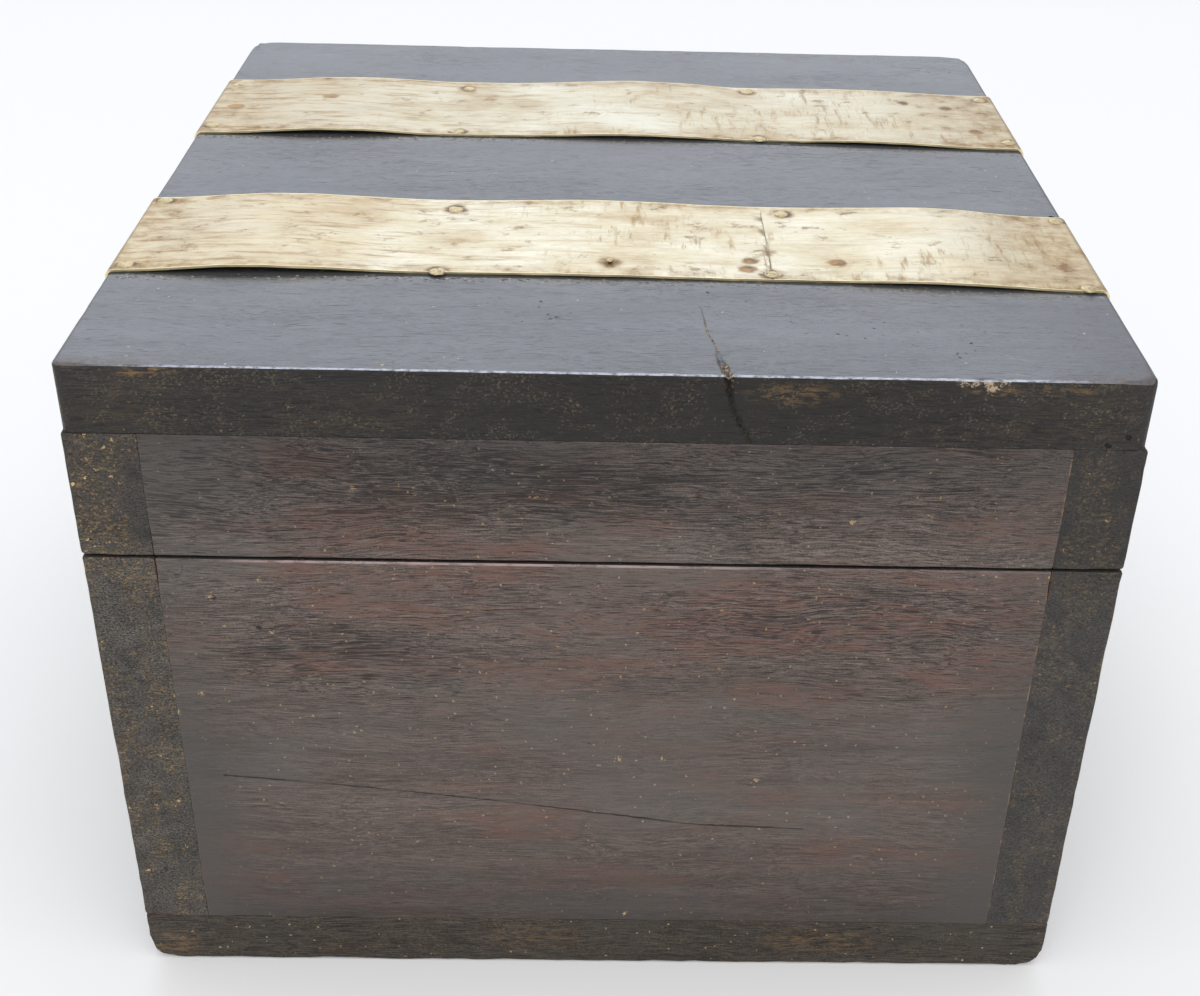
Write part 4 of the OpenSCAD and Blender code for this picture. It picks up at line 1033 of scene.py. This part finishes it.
boards = {
    "lid_top_board": {
        "uneven": 0.12,
        "materials": ["topWood", "edgeWood", "outerEndGrain", "insideEndWood"],
        "slots": {"+z": 0, "+x": 1, "-x": 1, "+y": 2, "-y": 2, "-z": 3, "rest": 1},
        "squared": [("+x", "+z"), ("-x", "+z")],
        "arrises": {("+x", "+z"): 0.75, ("-x", "+z"): 0.9, ("-y", "+z"): 1.6, ("+y", "+z"): 1.6},
        "corners": [{"sides": ("+x", "-y"), "radius": 3.6, "before": 3.0},
                    {"sides": ("+x", "+y"), "radius": 4.4, "before": 3.0},
                    {"sides": ("-x", "-y"), "radius": 7.5, "before": 3.0},
                    {"sides": ("-x", "+y"), "radius": 8.0, "before": 3.0}],
        "chips": [
            {"at": (132, 87.6, 192), "size": 4.0, "extra": 1.0},
            {"at": (132, -112, 192), "size": 16.0, "extra": 0.5},
            {"at": (132, 128, 192), "size": 5.0, "extra": 1.2},
            {"at": (132, -130, 176.6), "size": 1.3, "extra": 0.5},
            {"at": (132, -30, 192), "size": 1.6, "extra": 0.5},
            {"at": (132, 2, 192), "size": 1.4, "extra": 0.6},
            {"at": (132, 53, 192), "size": 2.2, "extra": 0.4},
        ],
        "split": topSplit,
        "zones": [
            {"low": (99, 20, 191), "high": (132.1, 38, 192.1), "spacing": (0.9, 0.45, 2.0)},
            {"low": (131, 20, 173.9), "high": (132.1, 38, 192.1), "spacing": (2.0, 0.45, 0.9)},
            {"low": (128, -130.1, 188), "high": (132.1, 130.1, 192.1), "spacing": (1.0, 1.3, 1.0)},
        ],
    },
    "lid_right_rail": endBoard("+x", "-x", 0.22, 0.5),
    "lid_left_rail": endBoard("-x", "+x", 0.22, 0.5),
    "lid_front_rail": longBoard("-y", "+y", 1.1, {("-y", "-z"): 0.6, ("+x", "-z"): 0.5}),
    "lid_back_rail": longBoard("+y", "-y", 1.1, {("+y", "-z"): 0.6, ("+x", "-z"): 0.5}),
    "right_end_panel": endBoard("+x", "-x", 0.7, 0.22),
    "left_end_panel": endBoard("-x", "+x", 0.7, 0.22),
    "front_board": longBoard("-y", "+y", 1.2, {("-y", "+z"): 0.7, ("+x", "+z"): 0.7, ("-x", "+z"): 0.7}),
    "back_board": longBoard("+y", "-y", 1.2, {("+y", "+z"): 0.7, ("+x", "+z"): 0.7, ("-x", "+z"): 0.7}),
    "bottom_board": {
        "materials": ["edgeWood", "outerEndGrain", "insideEndWood"],
        "slots": {"+x": 0, "-x": 0, "-y": 1, "+y": 1, "-z": 0, "+z": 2, "rest": 0},
        "arrises": {("+x", "-z"): 1.4, ("-x", "-z"): 1.4, ("+x", "-y"): 1.2, ("+x", "+y"): 1.2,
                    ("-x", "-y"): 1.2, ("-x", "+y"): 1.2},
        "corners": [{"sides": ("-y", "-z"), "radius": 8.2, "before": 6.0},
                    {"sides": ("+y", "-z"), "radius": 8.2, "before": 6.0}],
    },
}

# Small boards of one wood: distance of the cuts in mm, wood, wear of the arrises in mm, finish
smallBoards = {
    "front_tray_ledge": (8.0, "insideWood", 0.6, "chest_wood"),
    "back_tray_ledge": (8.0, "insideWood", 0.6, "chest_wood"),
    "tray_front": (8.0, "trayWoodLong", 0.5, "tray_wood"),
    "tray_back": (8.0, "trayWoodLong", 0.5, "tray_wood"),
    "tray_left_end": (6.0, "trayWoodCross", 0.5, "tray_wood"),
    "tray_right_end": (6.0, "trayWoodCross", 0.5, "tray_wood"),
    "tray_bottom": (12.0, "trayWoodLong", 0.3, "tray_wood"),
    "tray_divider_front": (8.0, "trayWoodLong", 0.8, "tray_wood"),
    "tray_divider_middle": (8.0, "trayWoodLong", 0.8, "tray_wood"),
    "tray_divider_back": (8.0, "trayWoodLong", 0.8, "tray_wood"),
}
for node, (spacing, wood, wear, finish) in smallBoards.items():
    boards[node] = {"spacing": spacing, "materials": [wood], "slots": {"rest": 0}, "plainArris": wear,
                    "slot": finish}

# Straps: between its nails the sheet stands up from the lid, by other amounts at its two edges

lidTop = 192.0  # mm
flatReach = 128.4  # mm to either side, where the sheet lies on the lid's top
mostRise = 1.68  # mm, the highest that the sheet stands up
headFoot = 0.55  # mm above the lid's top, where a nail's dome begins

straps = {
    "right_strap": {
        "paintedShadeFactor": 1.0, "centre": 49.0, "width": 51.5, "columns": [-126.6, -45.7, 41.4, 124.0],
        "nearRise": [(1.68, 0.40), (0.35, 0.45), (0.95, 0.60)],
        "farRise": [(1.68, 0.42), (0.95, 0.50), (1.60, 0.60)],
        "lean": [(-130.0, 3.5), (-45.0, 1.1), (41.0, 1.9), (124.0, 5.4)],
        "nudges": {"near": [0.2, 3.3, 0.4, 2.4], "far": [-1.3, 3.4, 1.4, -0.8]},
        "spots": [(68.5, 0.0, 192.6), (70.0, 36.5, 192.6), (64.5, 37.5, 192.8), (65.5, 61.0, 192.6)],
    },
    "left_strap": {
        # The far strap's shade factor darkens its colour as painted shade
        "paintedShadeFactor": 0.89, "centre": -61.0, "width": 53.5, "columns": [-127.9, -49.7, 46.0, 126.0],
        "nearRise": [(1.50, 0.50), (1.20, 0.60), (0.90, 0.50)],
        "farRise": [(1.30, 0.50), (1.68, 0.60), (0.70, 0.50)],
        "lean": [(-130.0, 3.9), (-50.0, 1.4), (45.0, 1.2), (124.0, 4.7)],
        "nudges": {"near": [-3.0, 1.4, 2.6, -2.3], "far": [2.0, 3.2, 0.5, 1.0]},
        "spots": [(-64.0, -92.4, 192.9), (-72.0, 98.0, 192.9), (-68.0, 112.0, 192.9),
                  (-45.0, 118.0, 192.9), (-55.0, -122.0, 192.9)],
    },
}


def between(pairs, place):
    for (a, low), (b, high) in zip(pairs[:-1], pairs[1:]):
        if place <= b:
            t = max(0.0, (place - a) / (b - a))
            return low + (high - low) * t * t * (3 - 2 * t)
    return pairs[-1][1]


def rise(y, columns, rises):
    for a, b, (height, peak) in zip(columns[:-1], columns[1:], rises):
        if a < y < b:
            t = ((y - a) / (b - a)) ** (math.log(0.5) / math.log(peak))
            return height * math.sin(math.pi * t) ** 2
    return 0.0


def leanOf(point, strap):
    # Sideways shift of the strap, which fades out down the back towards the hinge
    fade = max(0.0, min(1.0, (point.z - 150.0) / 40.0)) if point.y > 0 else 1.0
    return between(strap["lean"], point.y) * fade


def closeNailHoles(bm, places):
    # The nails' heads cover the holes along the top, so there the sheet is left whole
    def isHoleWall(face):
        centre = face.calc_center_median() / mm
        return (abs(face.normal.z) < 0.3 and centre.z > lidTop - 0.5
                and min((centre - Vector(place)).xy.length for place in places) < 1.6)

    walls = [face for face in bm.faces if isHoleWall(face)]
    bmesh.ops.delete(bm, geom=walls, context="FACES")
    bmesh.ops.holes_fill(bm, edges=[edge for edge in bm.edges if edge.is_boundary])


def shapeStrap(node, strap, holes):
    bm = copyOf(node)
    closeNailHoles(bm, holes)
    rimShare = bm.verts.layers.float.new("rim")
    low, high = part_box(node)
    under = sorted({(round(v.co.y / mm, 2), v.co.z / mm) for v in bm.verts
                    if v.co.z > (lidTop - 0.1) * mm and abs(v.co.y) < flatReach * mm})
    profile = {}
    for y, z in under:
        profile[y] = min(z, profile.get(y, 999.0))
    ys = sorted(profile)
    places = spread(low.x, high.x, 2.0 * mm) + [low.x + 0.6 * mm, high.x - 0.6 * mm]
    cutAcross(bm, 0, places)
    cutAcross(bm, 2, spread(141.8 * mm, 190.0 * mm, 3.0 * mm))

    def oldRise(y):
        if y <= ys[0] or y >= ys[-1]:
            return 0.0
        after = next(i for i, known in enumerate(ys) if known >= y)
        a, b = ys[after - 1], ys[after]
        t = (y - a) / (b - a) if b > a else 0.0
        return profile[a] + (profile[b] - profile[a]) * t - lidTop

    for vert in bm.verts:
        point = vert.co / mm
        across = (point.x - strap["centre"]) / strap["width"] + 0.5
        if point.z > lidTop - 0.1 and abs(point.y) < flatReach:
            near = rise(point.y, strap["columns"], strap["nearRise"])
            far = rise(point.y, strap["columns"], strap["farRise"])
            lift = far + (near - far) * across
            lift += 0.25 * noise.noise(Vector((point.x * 0.07, point.y * 0.05, 3.0))) * min(1.0, lift)
            point.z += min(max(lift, 0.0), mostRise) - oldRise(point.y)
        ragged = 0.22 * noise.noise(Vector((point.y * 0.11, point.z * 0.11, strap["centre"])))
        ragged += 0.10 * noise.noise(Vector((point.y * 0.5, point.z * 0.5, strap["centre"])))
        if point.z > 150.0:
            point.x += ragged * (1 if across > 0.5 else -1) * max(0.0, abs(across - 0.5) * 2 - 0.6) / 0.4
            point.x += leanOf(point, strap)
        vert[rimShare] = abs(across - 0.5) * 2
        vert.co = point * mm
    finishPiece(bm, node, [pieceName(node) + "Brass"], 40)


strapNail = {
    "topFrom": 180.0,  # mm, nails above this height are in the lid's top
    "tackGap": 12.0,  # mm, a top nail further than this from the rows of nails is a small tack
    "flattened": 0.72,
    "worn": 0.18,  # mm
    "skewed": 0.35,  # mm
}


def islandsOf(bm):
    # Groups of joined vertices; each group grows while it is gone through
    seen, groups = set(), []
    for start in bm.verts:
        if start in seen:
            continue
        seen.add(start)
        group = [start]
        for vert in group:
            for link in vert.link_edges:
                other = link.other_vert(vert)
                if other not in seen:
                    seen.add(other)
                    group.append(other)
        groups.append(group)
    return groups


def shapeStrapNails(node, strap):
    bm = copyOf(node)
    centres, holes = [], []
    for group in islandsOf(bm):
        centre = sum((v.co for v in group), Vector()) / len(group) / mm
        topNail = centre.z > strapNail["topFrom"]
        shift = leanOf(centre, strap)
        away = min(abs(centre.y - column) for column in strap["columns"])
        tack = topNail and away > strapNail["tackGap"]
        if topNail and not tack:
            holes.append(tuple(centre))
            column = min(range(4), key=lambda i: abs(centre.y - strap["columns"][i]))
            shift += strap["nudges"]["near" if centre.x > strap["centre"] else "far"][column]
        for vert in group:
            point = vert.co / mm
            seed = centre * 3.7
            if topNail and point.z > lidTop + headFoot:
                dome = (point.z - lidTop - headFoot) * (1.0 if tack else strapNail["flattened"])
                point.z = lidTop + headFoot + dome
                point.z -= strapNail["worn"] * (0.5 + noise.noise(point * 0.8 + seed))
                point.x += strapNail["skewed"] * noise.noise(point * 0.5 + seed)
                point.y += strapNail["skewed"] * noise.noise(point * 0.5 - seed)
            point.x += shift
            vert.co = point * mm
        if topNail:
            centres.append((centre.x + shift, centre.y, lidTop + 0.6))
    finishPiece(bm, node, ["nailBrass"], 50)
    return centres, holes


# Linings of baize, cut to fit and glued down

restsOn = {"floor_lining": "bottomBoard", "lid_lining": "lidTopBoard"}
restsOn.update({f"tray_lining_{number}": "trayBottom" for number in range(1, 5)})

lining = {
    "cell": 4.0,  # mm
    "thick": 0.55,  # share of the room that the CAD model gives it
    "glueLine": 0.02,  # share of the same room
    "pulledIn": 0.15,  # mm at the edges
}


def makeLining(node):
    low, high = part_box(node)
    size = high - low
    bm = bmesh.new()
    columns, rows = (max(4, round(side / (lining["cell"] * mm))) for side in size.xy)
    bmesh.ops.create_grid(bm, x_segments=columns, y_segments=rows, size=0.5)
    bmesh.ops.scale(bm, verts=bm.verts, vec=(size.x, size.y, 1.0))
    underLid = nodes[node]["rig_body"] == "lid"
    middle = (low + high) / 2
    for vert in bm.verts:
        point = vert.co / mm
        ripple = 0.12 * noise.noise(point * 0.05) + 0.06 * noise.noise(point * 0.22)
        vert.co.z = middle.z + ripple * mm
    bmesh.ops.translate(bm, verts=bm.verts, vec=(middle.x, middle.y, 0.0))
    for vert in bm.verts:
        atEdge = min(vert.co.x - low.x, high.x - vert.co.x, vert.co.y - low.y, high.y - vert.co.y)
        if atEdge < 0.1 * mm:
            point = vert.co / mm
            pulled = lining["pulledIn"] * (1 + noise.noise(point * 0.2))
            vert.co += (middle - vert.co).normalized() * pulled * mm
    bmesh.ops.solidify(bm, geom=bm.faces[:], thickness=size.z * lining["thick"])
    heights = [vert.co.z for vert in bm.verts]
    glue = size.z * lining["glueLine"]
    glued = high.z - glue - max(heights) if underLid else low.z + glue - min(heights)
    bmesh.ops.translate(bm, verts=bm.verts, vec=(0, 0, glued))
    bmesh.ops.recalc_face_normals(bm, faces=bm.faces)
    piece = finishPiece(bm, node, ["greenBaize"], 60)


# What stays as the frame has it gets its finish here

fittings = {
    "blackIron": ["carcass_nails", "lid_nails", "hinge_leaf_nails", "ledge_brads", "tray_brads",
                  "link_plate_screws", "lock_screws"],
    "fittingBrass": ["escutcheon", "escutcheon_pins", "left_hinge_leaf", "right_hinge_leaf",
                     "lock_case", "lock_cap", "link_plate"],
    "greySteel": ["key", "lock_bolt", "lock_spring", "left_hinge_pin", "right_hinge_pin"],
}


print("room")
makeRoom()
makeCamera()

print("materials")
made = {name: makeWood(name, look) for name, look in woods.items()}
made["outerEndGrain"] = makeEndGrain("outerEndGrain", endGrain)
made.update({name: makeMetal(name, look) for name, look in metals.items()})
made["greenBaize"] = makeBaize("greenBaize")

print("boards")
for node, board in boards.items():
    shapeBoard(node, board)

print("straps")
for node, strap in straps.items():
    nailPlaces, holes = shapeStrapNails(node + "_nails", strap)
    brassName = pieceName(node) + "Brass"
    made[brassName] = makeStrapBrass(brassName, {**strap, "nails": nailPlaces})
    shapeStrap(node, strap, holes)

print("linings")
for node, under in restsOn.items():
    makeLining(node)

print("fittings")
for name, members in fittings.items():
    for node in members:
        nodes[node].data.materials.clear()
        nodes[node].data.materials.append(made[name])
